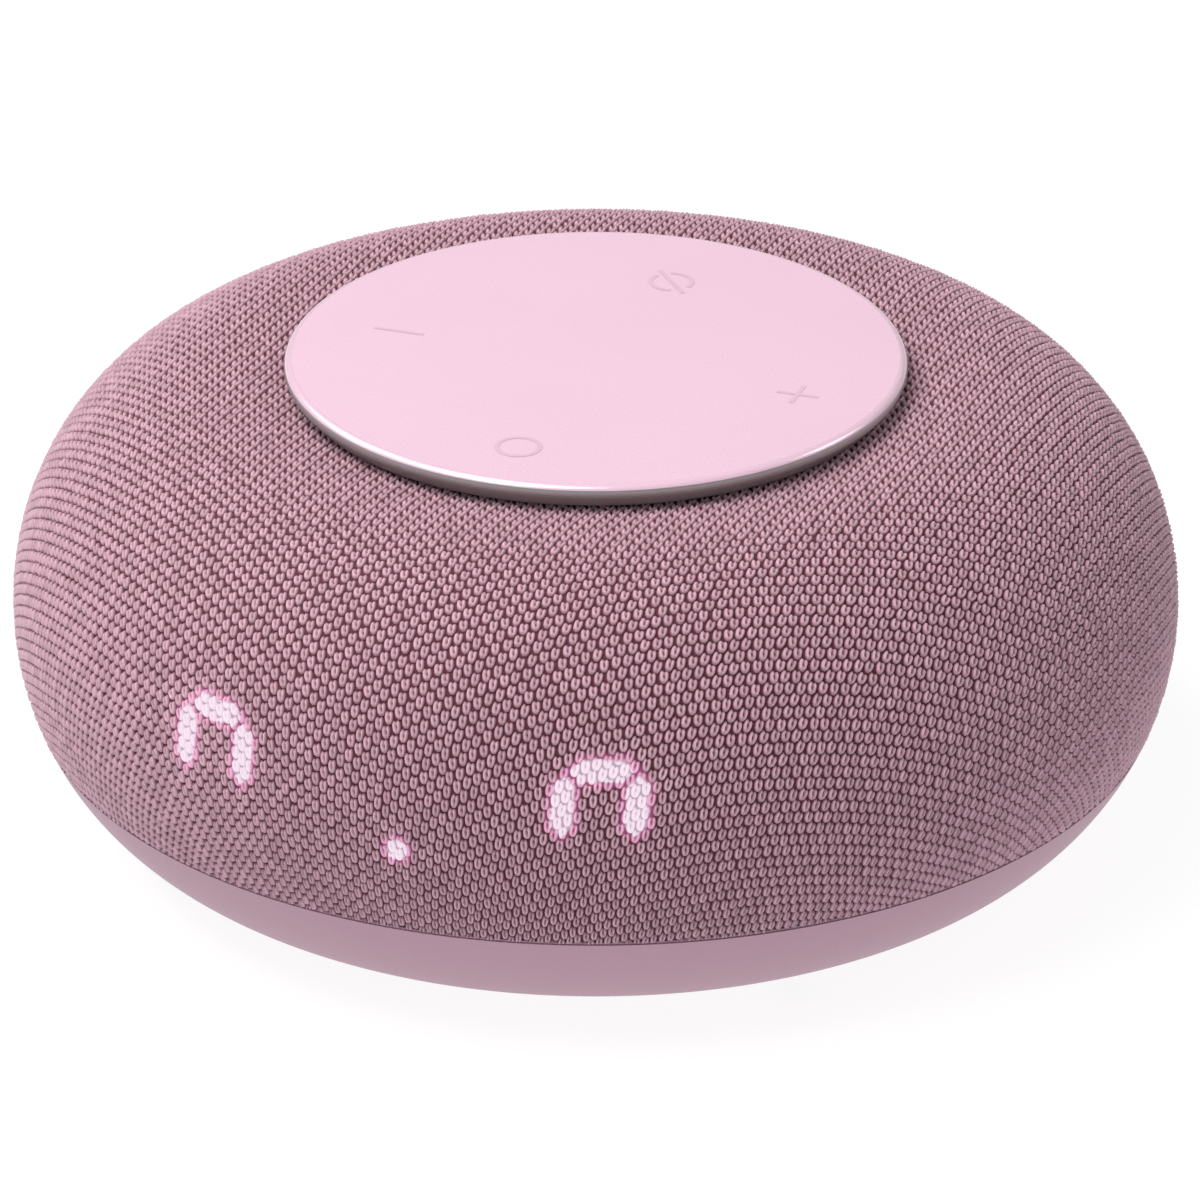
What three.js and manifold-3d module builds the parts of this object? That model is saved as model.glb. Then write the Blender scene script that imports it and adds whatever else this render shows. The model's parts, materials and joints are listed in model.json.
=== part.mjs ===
// A donut-shaped smart speaker and clock with a touch and charging pad on top, built as separate
// pieces. Millimetres, +Z up, the display faces -Y, origin at the bottom centre.

import * as THREE from 'three';
import { mergeVertices } from 'three/addons/utils/BufferGeometryUtils.js';
import Module from 'manifold-3d';

const wasm = await Module();
wasm.setup();

// ---------------------------------------------------------------- driving dimensions

const GAP = 0.3; // left between pieces that touch
const AROUND = 36; // facets round the large shells
const DRIVER_AROUND = 16; // facets round the driver and the radiators
const SCREW_AROUND = 8;

const EQUATOR_Z = 34; // height of the widest section
const BODY_RADIUS = 85;
// Above the equator the section is a half ellipse that runs out flatter towards the pad.
const UPPER = { centre: 55, width: 30, inward: 54, height: 34.5 };
const LOWER = { centre: 57, width: 28, height: 33 }; // half ellipse below the equator
const SEAM_Z = 19.7; // where the fabric meets the base shell
const FABRIC_THICK = 0.8;
const SHELL_DEPTH = FABRIC_THICK + GAP; // the grille shell's outside, below the fabric's outside
const SHELL_BACK = SHELL_DEPTH + 2;
const BASE_WALL = 2.4;

const PAD_TOP_Z = 71.8;
const PAD_RADIUS = 45;
const PAD_BEVEL = 0.9;
const PAD_UNDER_Z = PAD_TOP_Z - 1.6;
const EDGE_RING = { lowZ: 68.1, lowRadius: 43.2, topRadius: 44.5 };
const TRAY_RADIUS = 41;
const TRAY_LOW_Z = 60.5;
const TRAY_FLOOR_Z = TRAY_LOW_Z + 1.5;
const COLLAR_RADIUS = TRAY_RADIUS + 0.5; // inner edge of the fabric and the grille shell
const COLLAR_HOLE = 30;
const COLLAR_LOW_Z = TRAY_LOW_Z - 2.5;
const COLLAR_TOP_Z = 65.3; // within the grille shell's inner edge
const PAD_SCREW_REACH = 35;
const PAD_SCREW_ANGLES = [30, 150, 270];

const WINDOW = { halfWidth: 39, low: 25, high: 50.5 }; // display window in the grille shell
const SLOTS = { count: 18, z: 37, wide: 9, tall: 14 }; // sound slots in the grille shell
const CLEAR_OF_WINDOW = 35; // degrees each side of the front that have no slots
const CLEAR_OF_PILLAR = 5;
const DIGIT_MIDDLE_Z = EQUATOR_Z + 3.6;
const DIGIT_CENTRES = [-28.2, -10.8, 10.8, 28.2];
const DIGIT_WIDTH = 9.6; // between the centre lines of the upright segments
const DIGIT_HEIGHT = 18.4; // between the centre lines of the top and bottom segments
const SEGMENT_THICK = 2.6;
const COLON_DROP = 4.3; // from the digits' middle to each colon dot
const DISPLAY_BOARD_Y = -61;

const BOX = { x: 84, y: 70, low: 12.8, high: 46.5, wall: 2.2 }; // speaker enclosure
const DRIVER_HOLE = 25;
const DRIVER_SCREW_REACH = 28.4;
const RADIATOR_Z = 29.6;
const RADIATOR_HOLE = 12.5;

const BOARD_LOW_Z = 8.4;
const BOARD_TOP_Z = BOARD_LOW_Z + 1.6;
const BOARD_SCREWS = [[-46, 20], [46, 20], [0, -37]];
const BOX_POSTS = [[34, 27], [-34, 27], [-34, -27], [34, -27]];
const QUARTERS = [45, 135, 225, 315];
const PILLAR_REACH = 65;
const PILLAR_RADIUS = 3.4;
const PILLAR_LOW_Z = 8;
const PILLAR_TOP_Z = 61.5;

const BASE_LOW_Z = 1;
const BASE_FLOOR_Z = BASE_LOW_Z + BASE_WALL;
const FOOT = { inner: 50, outer: 56, height: 1.5 };
const BASE_SCREW_Z = 4.5; // underside of the screws' heads
const COUNTERBORE = { radius: 3.3, topZ: 6.2 };

const INLET_Z = 11.9;
const INLET_FACE_Y = 69;
const INLET = { width: 9, height: 3.3, length: 8, wall: 0.4 };
const RECESS = { width: 14, height: 8, wall: 1.8, backY: 68.3 };
const RESET_X = 15;
const RESET_RADIUS = 1.5;

// ---------------------------------------------------------------- finishes

function finish(color, roughness, metalness = 0) {
  return new THREE.MeshStandardMaterial({ color, roughness, metalness });
}

const FABRIC = finish(0xb58492, 0.95);
const BASE_PINK = finish(0xc7a2b3, 0.55);
const PAD_PINK = finish(0xfad3e6, 0.35);
const GREY_RING = finish(0x8e8386, 0.4);
const BLACK_PLASTIC = finish(0x2b2a2d, 0.6);
const WHITE_PLASTIC = finish(0xf2f0f2, 0.5);
const RUBBER = finish(0x3a3437, 0.9);
const BOARD_GREEN = finish(0x1f5a3a, 0.5);
const COPPER = finish(0xb87333, 0.35, 1);
const FERRITE = finish(0x35363a, 0.7);
const STEEL = finish(0xb9bcc0, 0.35, 1);
const ALUMINIUM = finish(0xc9ccd0, 0.4, 1);
const CONE_GREY = finish(0x3b3b3f, 0.8);
const RIBBON = finish(0xc79a52, 0.5);

// ---------------------------------------------------------------- shaping helpers

const part = new THREE.Group();

function add(name, geometry, material) {
  const mesh = new THREE.Mesh(geometry, material);
  mesh.name = name;
  part.add(mesh);
}

function toSolid(geometry) {
  const bare = geometry.clone();
  bare.deleteAttribute('normal');
  bare.deleteAttribute('uv');
  const merged = mergeVertices(bare, 1e-4);
  return new wasm.Manifold(
    new wasm.Mesh({
      numProp: 3,
      vertProperties: new Float32Array(merged.attributes.position.array),
      triVerts: new Uint32Array(merged.index.array),
    }),
  );
}

function toGeometry(solid) {
  const mesh = solid.getMesh();
  const geometry = new THREE.BufferGeometry();
  geometry.setAttribute('position', new THREE.BufferAttribute(mesh.vertProperties, 3));
  geometry.setIndex(new THREE.BufferAttribute(mesh.triVerts, 1));
  return geometry;
}

function cut(geometry, tools) {
  const solid = tools.reduce((left, tool) => left.subtract(toSolid(tool)), toSolid(geometry));
  return toGeometry(solid);
}

function join(geometry, others) {
  const solid = others.reduce((whole, other) => whole.add(toSolid(other)), toSolid(geometry));
  return toGeometry(solid);
}

function common(geometry, other) {
  return toGeometry(toSolid(geometry).intersect(toSolid(other)));
}

// A solid of revolution about Z. The profile's points are [radius, z], anticlockwise with radius
// to the right and z up. It starts and ends on the axis, or closes on itself.
function turned(profile, around = AROUND) {
  const points = profile.map(([radius, z]) => new THREE.Vector2(radius, z));
  if (profile[0][0] > 0) {
    points.push(points[0].clone());
  }
  return new THREE.LatheGeometry(points, around).rotateX(Math.PI / 2);
}

function ring(inner, outer, low, high, around = AROUND) {
  return turned([[inner, low], [outer, low], [outer, high], [inner, high]], around);
}

function disc(radius, low, high, around = AROUND) {
  return turned([[0, low], [radius, low], [radius, high], [0, high]], around);
}

function peg(radius, low, high, x, y) {
  return disc(radius, low, high, SCREW_AROUND).translate(x, y, 0);
}

function box(sizeX, sizeY, sizeZ, x, y, z) {
  return new THREE.BoxGeometry(sizeX, sizeY, sizeZ).translate(x, y, z);
}

function boxBetween([x0, y0, z0], [x1, y1, z1]) {
  return box(x1 - x0, y1 - y0, z1 - z0, (x0 + x1) / 2, (y0 + y1) / 2, (z0 + z1) / 2);
}

function extrude(shape, depth) {
  return new THREE.ExtrudeGeometry(shape, { depth, bevelEnabled: false, curveSegments: 3 });
}

// A rounded rectangle in plan, standing from low to high.
function slab(sizeX, sizeY, low, high, corner) {
  const x = sizeX / 2 - corner;
  const y = sizeY / 2 - corner;
  const outline = new THREE.Shape();
  outline.moveTo(x, -y - corner);
  outline.absarc(x, -y, corner, -Math.PI / 2, 0);
  outline.absarc(x, y, corner, 0, Math.PI / 2);
  outline.absarc(-x, y, corner, Math.PI / 2, Math.PI);
  outline.absarc(-x, -y, corner, Math.PI, Math.PI * 1.5);
  return extrude(outline, high - low).translate(0, 0, low);
}

// A flat ribbon of even thickness through [y, z] points, width wide along X and centred on x.
function ribbon(route, thick, width, x) {
  const points = route.map(([y, z]) => new THREE.Vector2(y, z));
  const side = (sign) => points.map((point, i) => {
    const before = points[Math.max(i - 1, 0)];
    const after = points[Math.min(i + 1, points.length - 1)];
    const into = point.clone().sub(before).normalize();
    const out = after.clone().sub(point).normalize();
    const along = into.clone().add(out).normalize();
    const lean = into.lengthSq() * out.lengthSq() > 0 ? along.dot(out) : 1;
    const across = new THREE.Vector2(-along.y, along.x);
    return point.clone().addScaledVector(across, (sign * thick) / 2 / lean);
  });
  const outline = new THREE.Shape([...side(-1), ...side(1).reverse()]);
  const flat = extrude(outline, width).translate(0, 0, -width / 2);
  return flat.rotateY(Math.PI / 2).rotateX(Math.PI / 2).translate(x, 0, 0);
}

function polar(reach, degrees) {
  const angle = THREE.MathUtils.degToRad(degrees);
  return [reach * Math.cos(angle), reach * Math.sin(angle)];
}

// A cross-head screw. It points up when size.up is true, and its head's flat end is at z.
function addScrew(name, [x, y], z, size) {
  const slotDepth = size.headHeight * 0.6;
  const profile = [
    [0, 0], [size.headRadius * 0.8, 0], [size.headRadius, size.headHeight * 0.35],
    [size.headRadius, size.headHeight], [size.shankRadius, size.headHeight],
    [size.shankRadius, size.length], [0, size.length + size.shankRadius],
  ];
  const blank = turned(profile, SCREW_AROUND);
  const arm = size.headRadius * 1.1;
  const slots = [box(arm, 0.5, 2 * slotDepth, 0, 0, 0), box(0.5, arm, 2 * slotDepth, 0, 0, 0)];
  const screw = cut(blank, slots);
  if (!size.up) {
    screw.rotateX(Math.PI);
  }
  add(name, screw.translate(x, y, z), STEEL);
}

// ---------------------------------------------------------------- the body's section

// Points down the body's section at a depth below its outside, from the inner edge over the crest
// and the equator to the height toZ.
function section(depth, toZ) {
  const upperSteps = 8;
  const lowerSteps = 2;
  const start = Math.acos((COLLAR_RADIUS - UPPER.centre) / (UPPER.inward - depth));
  const end = Math.asin((EQUATOR_Z - toZ) / (LOWER.height - depth));
  const points = [];
  for (let i = 0; i < upperSteps; i += 1) {
    const angle = start * (1 - i / upperSteps);
    const width = angle > Math.PI / 2 ? UPPER.inward : UPPER.width;
    const radius = UPPER.centre + (width - depth) * Math.cos(angle);
    points.push([radius, EQUATOR_Z + (UPPER.height - depth) * Math.sin(angle)]);
  }
  for (let i = 0; i <= lowerSteps; i += 1) {
    const angle = (end * i) / lowerSteps;
    const radius = LOWER.centre + (LOWER.width - depth) * Math.cos(angle);
    points.push([radius, EQUATOR_Z - (LOWER.height - depth) * Math.sin(angle)]);
  }
  return points;
}

// The solid between two depths below the body's outside.
function bodyShell(outerDepth, innerDepth, toZ) {
  return turned([...section(innerDepth, toZ), ...section(outerDepth, toZ).reverse()]);
}

// Everything that lies deeper than a depth below the body's outside, above the height fromZ.
function bodyCore(depth, fromZ) {
  const side = section(depth, fromZ).reverse();
  return turned([[0, fromZ], ...side, [0, side[side.length - 1][1]]]);
}

// Points along the base's curve at a depth below its outside, from the bottom up to the height toZ.
function baseCurve(depth, toZ) {
  const steps = 5;
  const top = Math.asin((EQUATOR_Z - toZ) / (LOWER.height - depth));
  const points = [];
  for (let i = 0; i <= steps; i += 1) {
    const angle = Math.PI / 2 + ((top - Math.PI / 2) * i) / steps;
    const radius = LOWER.centre + (LOWER.width - depth) * Math.cos(angle);
    points.push([radius, EQUATOR_Z - (LOWER.height - depth) * Math.sin(angle)]);
  }
  return points;
}

// ---------------------------------------------------------------- fabric, grille shell and base

function displayWindow(shrink) {
  return boxBetween(
    [-WINDOW.halfWidth + shrink, -95, WINDOW.low + shrink],
    [WINDOW.halfWidth - shrink, -60, WINDOW.high - shrink],
  );
}

function grilleSlots() {
  const slots = [];
  for (let i = 0; i < SLOTS.count; i += 1) {
    const fromFront = (360 / SLOTS.count) * (i + 0.5);
    const degrees = (fromFront + 270) % 360;
    const clearOfWindow = Math.abs(((fromFront + 180) % 360) - 180) > CLEAR_OF_WINDOW;
    const clearOfPillars = QUARTERS.every((pillar) => Math.abs(pillar - degrees) > CLEAR_OF_PILLAR);
    if (clearOfWindow && clearOfPillars) {
      const [x, y] = polar(BODY_RADIUS, degrees);
      const slot = box(12, SLOTS.wide, SLOTS.tall, 0, 0, 0);
      slots.push(slot.rotateZ(THREE.MathUtils.degToRad(degrees)).translate(x, y, SLOTS.z));
    }
  }
  return slots;
}

// Lets the touch pad's ribbon down through the collar and the tray's floor.
function ribbonSlot() {
  return boxBetween([-14, 33, 50], [-2, 35.4, 64]);
}

function addGrilleShell() {
  const shell = bodyShell(SHELL_DEPTH, SHELL_BACK, SEAM_Z + 2 * GAP);
  const collar = turned([
    [COLLAR_HOLE, COLLAR_LOW_Z], [COLLAR_RADIUS + 2, COLLAR_LOW_Z],
    [COLLAR_RADIUS + 2, COLLAR_TOP_Z], [COLLAR_RADIUS, COLLAR_TOP_Z],
    [COLLAR_RADIUS, TRAY_LOW_Z - GAP], [COLLAR_HOLE, TRAY_LOW_Z - GAP],
  ]);
  const pillars = QUARTERS.map((turn) => (
    peg(PILLAR_RADIUS, PILLAR_LOW_Z, PILLAR_TOP_Z, ...polar(PILLAR_REACH, turn))
  ));
  const pilots = QUARTERS.map((turn) => peg(1.6, 0, PILLAR_LOW_Z + 9, ...polar(PILLAR_REACH, turn)));
  const padHoles = PAD_SCREW_ANGLES.map((turn) => peg(1.5, 50, 64, ...polar(PAD_SCREW_REACH, turn)));
  const tools = [displayWindow(0), ribbonSlot(), ...grilleSlots(), ...pilots, ...padHoles];
  add('grille_shell', cut(join(shell, [collar, ...pillars]), tools), BLACK_PLASTIC);
}

function addBaseShell() {
  const lip = [[79, SEAM_Z], [79, SEAM_Z + 3.2], [77, SEAM_Z + 3.2]];
  const inside = baseCurve(BASE_WALL, SEAM_Z - 2).map(([radius, z]) => [Math.min(radius, 77), z]);
  const bowl = turned([
    [0, BASE_LOW_Z], ...baseCurve(0, SEAM_Z), ...lip, ...inside.reverse(), [0, BASE_FLOOR_Z],
  ]);
  const filled = turned([[0, BASE_LOW_Z], ...baseCurve(0, SEAM_Z), [0, SEAM_Z]]);
  const half = RECESS.width / 2;
  const lowZ = INLET_Z - RECESS.height / 2;
  const highZ = INLET_Z + RECESS.height / 2;
  const tunnel = boxBetween(
    [-half - RECESS.wall, RECESS.backY - RECESS.wall, lowZ - RECESS.wall],
    [half + RECESS.wall, 90, highZ + RECESS.wall],
  );
  const bosses = QUARTERS.map((turn) => peg(4.4, 1, PILLAR_LOW_Z - GAP, ...polar(PILLAR_REACH, turn)));
  const posts = BOX_POSTS.map((place) => peg(3, 2.5, BOX.low - GAP, ...place));
  const standoffs = BOARD_SCREWS.map((place) => peg(3, 2.5, BOARD_LOW_Z - GAP, ...place));
  const added = [tunnel, ...bosses].map((piece) => common(piece, filled));
  const whole = join(bowl, [...added, ...posts, ...standoffs]);
  const counterbores = QUARTERS.map((turn) => (
    peg(COUNTERBORE.radius, -1, COUNTERBORE.topZ, ...polar(PILLAR_REACH, turn))
  ));
  const screwHoles = QUARTERS.map((turn) => peg(1.7, -1, 12, ...polar(PILLAR_REACH, turn)));
  const pilots = BOARD_SCREWS.map((place) => peg(1.4, 4.4, 12, ...place));
  const footGroove = ring(FOOT.inner - GAP, FOOT.outer + GAP, 0, FOOT.height + GAP);
  const recess = boxBetween([-half, RECESS.backY, lowZ], [half, 90, highZ]);
  const inletLow = BOARD_TOP_Z;
  const inletHole = boxBetween(
    [-INLET.width / 2 - GAP, 60, inletLow],
    [INLET.width / 2 + GAP, 70, inletLow + INLET.height + 2 * GAP],
  );
  const resetHole = disc(RESET_RADIUS + GAP, 60, 90, SCREW_AROUND).rotateX(-Math.PI / 2);
  resetHole.translate(RESET_X, 0, INLET_Z);
  const tools = [
    ...counterbores, ...screwHoles, ...pilots, footGroove, recess, inletHole, resetHole,
  ];
  add('base_shell', cut(whole, tools), BASE_PINK);
}

function addBody() {
  add('fabric_sleeve', bodyShell(0, FABRIC_THICK, SEAM_Z + GAP), FABRIC);
  addGrilleShell();
  addBaseShell();
  add('rubber_foot_ring', ring(FOOT.inner, FOOT.outer, 0, FOOT.height), RUBBER);
  QUARTERS.forEach((turn, i) => {
    const size = { up: true, headRadius: 2.9, headHeight: 1.4, shankRadius: 1.2, length: 10.5 };
    addScrew(`base_screw_${i + 1}`, polar(PILLAR_REACH, turn), BASE_SCREW_Z, size);
  });
}

// ---------------------------------------------------------------- touch and charging pad

function addPad() {
  const edge = PAD_RADIUS - 0.6;
  const cover = [
    [0, PAD_UNDER_Z], [edge, PAD_UNDER_Z], [PAD_RADIUS, PAD_TOP_Z - PAD_BEVEL],
    [PAD_RADIUS - 0.8, PAD_TOP_Z], [0, PAD_TOP_Z],
  ];
  add('pad_cover', turned(cover), PAD_PINK);
  const inner = TRAY_RADIUS + GAP;
  const under = PAD_UNDER_Z - GAP;
  const edgeRing = [
    [inner, EDGE_RING.lowZ], [EDGE_RING.lowRadius, EDGE_RING.lowZ], [EDGE_RING.topRadius, under],
    [inner, under],
  ];
  add('pad_edge_ring', turned(edgeRing), GREY_RING);
  addPadTray();
  add('touch_board', ring(24.5, 38.7, 68.9, PAD_UNDER_Z - GAP), BOARD_GREEN);
  add('charging_coil', ring(9, 22, 67.9, PAD_UNDER_Z - GAP, DRIVER_AROUND), COPPER);
  add('ferrite_sheet', disc(23.5, 66.8, 67.6, DRIVER_AROUND), FERRITE);
  add('charger_board', disc(31.8, 64.9, 66.5, DRIVER_AROUND), BOARD_GREEN);
  add('charger_shield', slab(24, 16, TRAY_FLOOR_Z + GAP, 64.6, 1.5), STEEL);
  PAD_SCREW_ANGLES.forEach((turn, i) => {
    const size = { up: true, headRadius: 2.3, headHeight: 1.4, shankRadius: 1, length: 8 };
    addScrew(`pad_screw_${i + 1}`, polar(PAD_SCREW_REACH, turn), COLLAR_LOW_Z - GAP - 1.4, size);
  });
}

function addPadTray() {
  const ledge = TRAY_RADIUS - 4;
  const wall = TRAY_RADIUS - 2;
  const rim = PAD_UNDER_Z - GAP;
  const dish = turned([
    [0, TRAY_LOW_Z], [TRAY_RADIUS, TRAY_LOW_Z], [TRAY_RADIUS, rim], [wall, rim],
    [wall, 68.6], [ledge, 68.6], [ledge, TRAY_FLOOR_Z], [0, TRAY_FLOOR_Z],
  ]);
  const bosses = PAD_SCREW_ANGLES.map((turn) => (
    peg(2.8, TRAY_LOW_Z + 0.5, 67, ...polar(PAD_SCREW_REACH, turn))
  ));
  const rests = [60, 120, 240, 300].map((turn) => peg(2, TRAY_FLOOR_Z - 0.5, 64.6, ...polar(28, turn)));
  const pilots = PAD_SCREW_ANGLES.map((turn) => peg(1.3, 59, 66.2, ...polar(PAD_SCREW_REACH, turn)));
  add('pad_tray', cut(join(dish, [...bosses, ...rests]), [...pilots, ribbonSlot()]), BLACK_PLASTIC);
}

// ---------------------------------------------------------------- clock display

// A segment's light tunnel: a pointed bar lying along X or standing along Z, through the block.
function segmentTunnel(x, z, length, upright) {
  const half = length / 2;
  const side = SEGMENT_THICK / 2;
  const corners = [
    [-half, 0], [side - half, -side], [half - side, -side],
    [half, 0], [half - side, side], [side - half, side],
  ];
  const outline = new THREE.Shape(corners.map(([u, v]) => new THREE.Vector2(u, v)));
  const bar = extrude(outline, 40);
  if (upright) {
    bar.rotateZ(Math.PI / 2);
  }
  return bar.rotateX(Math.PI / 2).translate(x, -55, z);
}

function digitTunnels(x) {
  const across = DIGIT_WIDTH - 0.8;
  const tall = DIGIT_HEIGHT / 2 - 0.8;
  const tunnels = [];
  for (const level of [-1, 0, 1]) {
    const z = DIGIT_MIDDLE_Z + (level * DIGIT_HEIGHT) / 2;
    tunnels.push(segmentTunnel(x, z, across, false));
  }
  for (const side of [-1, 1]) {
    for (const level of [-1, 1]) {
      const z = DIGIT_MIDDLE_Z + (level * DIGIT_HEIGHT) / 4;
      tunnels.push(segmentTunnel(x + (side * DIGIT_WIDTH) / 2, z, tall, true));
    }
  }
  return tunnels;
}

function colonTunnels() {
  return [-1, 1].map((level) => {
    const tunnel = disc(1.7, 50, 95, 8).rotateX(Math.PI / 2);
    return tunnel.translate(0, 0, DIGIT_MIDDLE_Z + level * COLON_DROP);
  });
}

function addDisplay() {
  const window = common(bodyShell(SHELL_DEPTH, SHELL_BACK, SEAM_Z + 2 * GAP), displayWindow(GAP));
  add('display_diffuser', window, WHITE_PLASTIC);
  const block = boxBetween(
    [-38, -95, WINDOW.low + 1],
    [38, DISPLAY_BOARD_Y - 1.6 - GAP, WINDOW.high - 1],
  );
  const fitted = common(block, bodyCore(SHELL_BACK + GAP, 22));
  const tunnels = [...DIGIT_CENTRES.flatMap(digitTunnels), ...colonTunnels()];
  add('segment_reflector', cut(fitted, tunnels), WHITE_PLASTIC);
  const board = boxBetween([-36, DISPLAY_BOARD_Y - 1.6, 26.5], [36, DISPLAY_BOARD_Y, 49]);
  add('display_board', board, BOARD_GREEN);
  const low = BOARD_TOP_Z + GAP + 0.15;
  const route = [[DISPLAY_BOARD_Y + 0.5, 34], [DISPLAY_BOARD_Y + 0.5, 22], [-54, low], [-37, low]];
  add('display_ribbon', ribbon(route, 0.3, 10, 16), RIBBON);
}

// ---------------------------------------------------------------- speaker

function addEnclosure() {
  const outside = slab(BOX.x, BOX.y, BOX.low, BOX.high, 9);
  const bosses = QUARTERS.map((turn) => peg(2.8, 40, 45.5, ...polar(DRIVER_SCREW_REACH, turn)));
  const inner = 2 * BOX.wall;
  const low = BOX.low + BOX.wall;
  const high = BOX.high - BOX.wall;
  const hollow = cut(slab(BOX.x - inner, BOX.y - inner, low, high, 7), bosses);
  const driverHole = disc(DRIVER_HOLE, 40, 50, DRIVER_AROUND);
  const sideHole = disc(RADIATOR_HOLE, -60, 60, DRIVER_AROUND).rotateY(Math.PI / 2);
  sideHole.translate(0, 0, RADIATOR_Z);
  const pilots = QUARTERS.map((turn) => peg(1.2, 41, 50, ...polar(DRIVER_SCREW_REACH, turn)));
  add('speaker_enclosure', cut(outside, [hollow, driverHole, sideHole, ...pilots]), BLACK_PLASTIC);
}

function addDriver() {
  const made = (name, profile, material) => add(name, turned(profile, DRIVER_AROUND), material);
  const holes = QUARTERS.map((turn) => peg(1.2, 40, 55, ...polar(DRIVER_SCREW_REACH, turn)));
  const gasket = ring(25.3, 30.2, BOX.high + GAP, 47.6, DRIVER_AROUND);
  add('driver_gasket', cut(gasket, holes), RUBBER);
  const basket = turned([
    [9.5, 33.9], [17, 33.9], [17, 36.4], [24.7, 46.4], [24.7, 47.9], [30.5, 47.9],
    [30.5, 49.1], [23.4, 49.1], [23.4, 46.8], [15.7, 36.6], [15.7, 35.1], [9.5, 35.1],
  ], DRIVER_AROUND);
  const windows = [0, 90].map((turn) => (
    box(60, 13, 5, 0, 0, 41).rotateZ(THREE.MathUtils.degToRad(turn))
  ));
  add('driver_basket', cut(basket, [...windows, ...holes]), STEEL);
  made('driver_top_plate', [[8.6, 31.6], [16, 31.6], [16, 33.6], [8.6, 33.6]], STEEL);
  made('driver_magnet', [[10, 25.8], [16.5, 25.8], [16.5, 31.3], [10, 31.3]], FERRITE);
  made('driver_yoke', [[0, 23.2], [16, 23.2], [16, 25.5], [7, 25.5], [7, 33.4], [0, 33.4]], STEEL);
  made('voice_coil', [[7.5, 28.2], [8.1, 28.2], [8.1, 41], [7.5, 41]], COPPER);
  made('driver_cone', [[8.5, 39.6], [19.4, 48.3], [20.2, 48.3], [20.2, 49.1], [19, 49.1], [8.5, 40.7]],
    CONE_GREY);
  made('driver_dust_cap', [
    [0, 43.9], [4, 43.5], [7.3, 42.6], [9.4, 41.95], [9.2, 42.7], [7.6, 43.6], [4.2, 44.5], [0, 45],
  ], CONE_GREY);
  made('driver_surround', [
    [19.2, 49.4], [20.7, 49.4], [21.1, 50.4], [22, 50.8], [22.9, 50.4], [23.3, 49.4], [26, 49.4],
    [26, 49.9], [23.7, 49.9], [23, 51], [22, 51.4], [21, 51], [20.3, 49.9], [19.2, 49.9],
  ], RUBBER);
  made('driver_spider', [[8.4, 37], [15.4, 37], [15.4, 37.6], [8.4, 37.6]], FABRIC);
  made('sound_deflector', [
    [0, 52.6], [5, 53.2], [13, 55.2], [22, 56], [31.5, 56.2], [31.5, COLLAR_LOW_Z - GAP],
    [0, COLLAR_LOW_Z - GAP],
  ], BLACK_PLASTIC);
  QUARTERS.forEach((turn, i) => {
    const size = { up: false, headRadius: 1.9, headHeight: 1.2, shankRadius: 0.9, length: 6.5 };
    addScrew(`driver_screw_${i + 1}`, polar(DRIVER_SCREW_REACH, turn), 49.4 + 1.2, size);
  });
}

// One passive radiator on the enclosure's side wall. Its axis is X, and side is -1 or 1.
function addRadiator(name, side) {
  const face = BOX.x / 2 + GAP;
  const made = (piece, profile, material) => {
    const geometry = turned(profile, DRIVER_AROUND).rotateY((side * Math.PI) / 2);
    add(`${name}_radiator_${piece}`, geometry.translate(0, 0, RADIATOR_Z), material);
  };
  const rim = RADIATOR_HOLE + 3;
  const frame = [[RADIATOR_HOLE, face], [rim, face], [rim, face + 1.8], [RADIATOR_HOLE, face + 1.8]];
  made('frame', frame, BLACK_PLASTIC);
  made('surround', [
    [8.4, face + 2.1], [9, face + 2.1], [10.2, face + 3.3], [11.6, face + 3.3], [12.6, face + 2.1],
    [15, face + 2.1], [15, face + 2.6], [12.9, face + 2.6], [11.9, face + 3.9], [9.9, face + 3.9],
    [8.8, face + 2.6], [8.4, face + 2.6],
  ], RUBBER);
  made('plate', [[0, face - 0.4], [9.6, face - 0.4], [9.6, face + 1.8], [0, face + 1.8]], ALUMINIUM);
}

function addSpeaker() {
  addEnclosure();
  addDriver();
  addRadiator('left', -1);
  addRadiator('right', 1);
}

// ---------------------------------------------------------------- electronics

function addMainBoard() {
  const plate = slab(104, 84, BOARD_LOW_Z, BOARD_TOP_Z, 8);
  const tongue = boxBetween([-12, 40, BOARD_LOW_Z], [20, 66, BOARD_TOP_Z]);
  const postHoles = BOX_POSTS.map((place) => peg(3.6, 5, 12, ...place));
  const screwHoles = BOARD_SCREWS.map((place) => peg(1.4, 5, 12, ...place));
  add('main_board', cut(join(plate, [tongue]), [...postHoles, ...screwHoles]), BOARD_GREEN);
  add('processor_shield', slab(28, 24, BOARD_TOP_Z + GAP, BOX.low - 0.4, 1), STEEL);
  add('heat_spreader', slab(50, 40, BASE_FLOOR_Z + GAP, 5.2, 3), ALUMINIUM);
  add('thermal_pad', slab(30, 26, 5.5, BOARD_LOW_Z - GAP, 1), WHITE_PLASTIC);
  BOARD_SCREWS.forEach((place, i) => {
    const size = { up: false, headRadius: 2.2, headHeight: 1.3, shankRadius: 1.1, length: 6 };
    addScrew(`board_screw_${i + 1}`, place, BOARD_TOP_Z + GAP + 1.3, size);
  });
}

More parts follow.
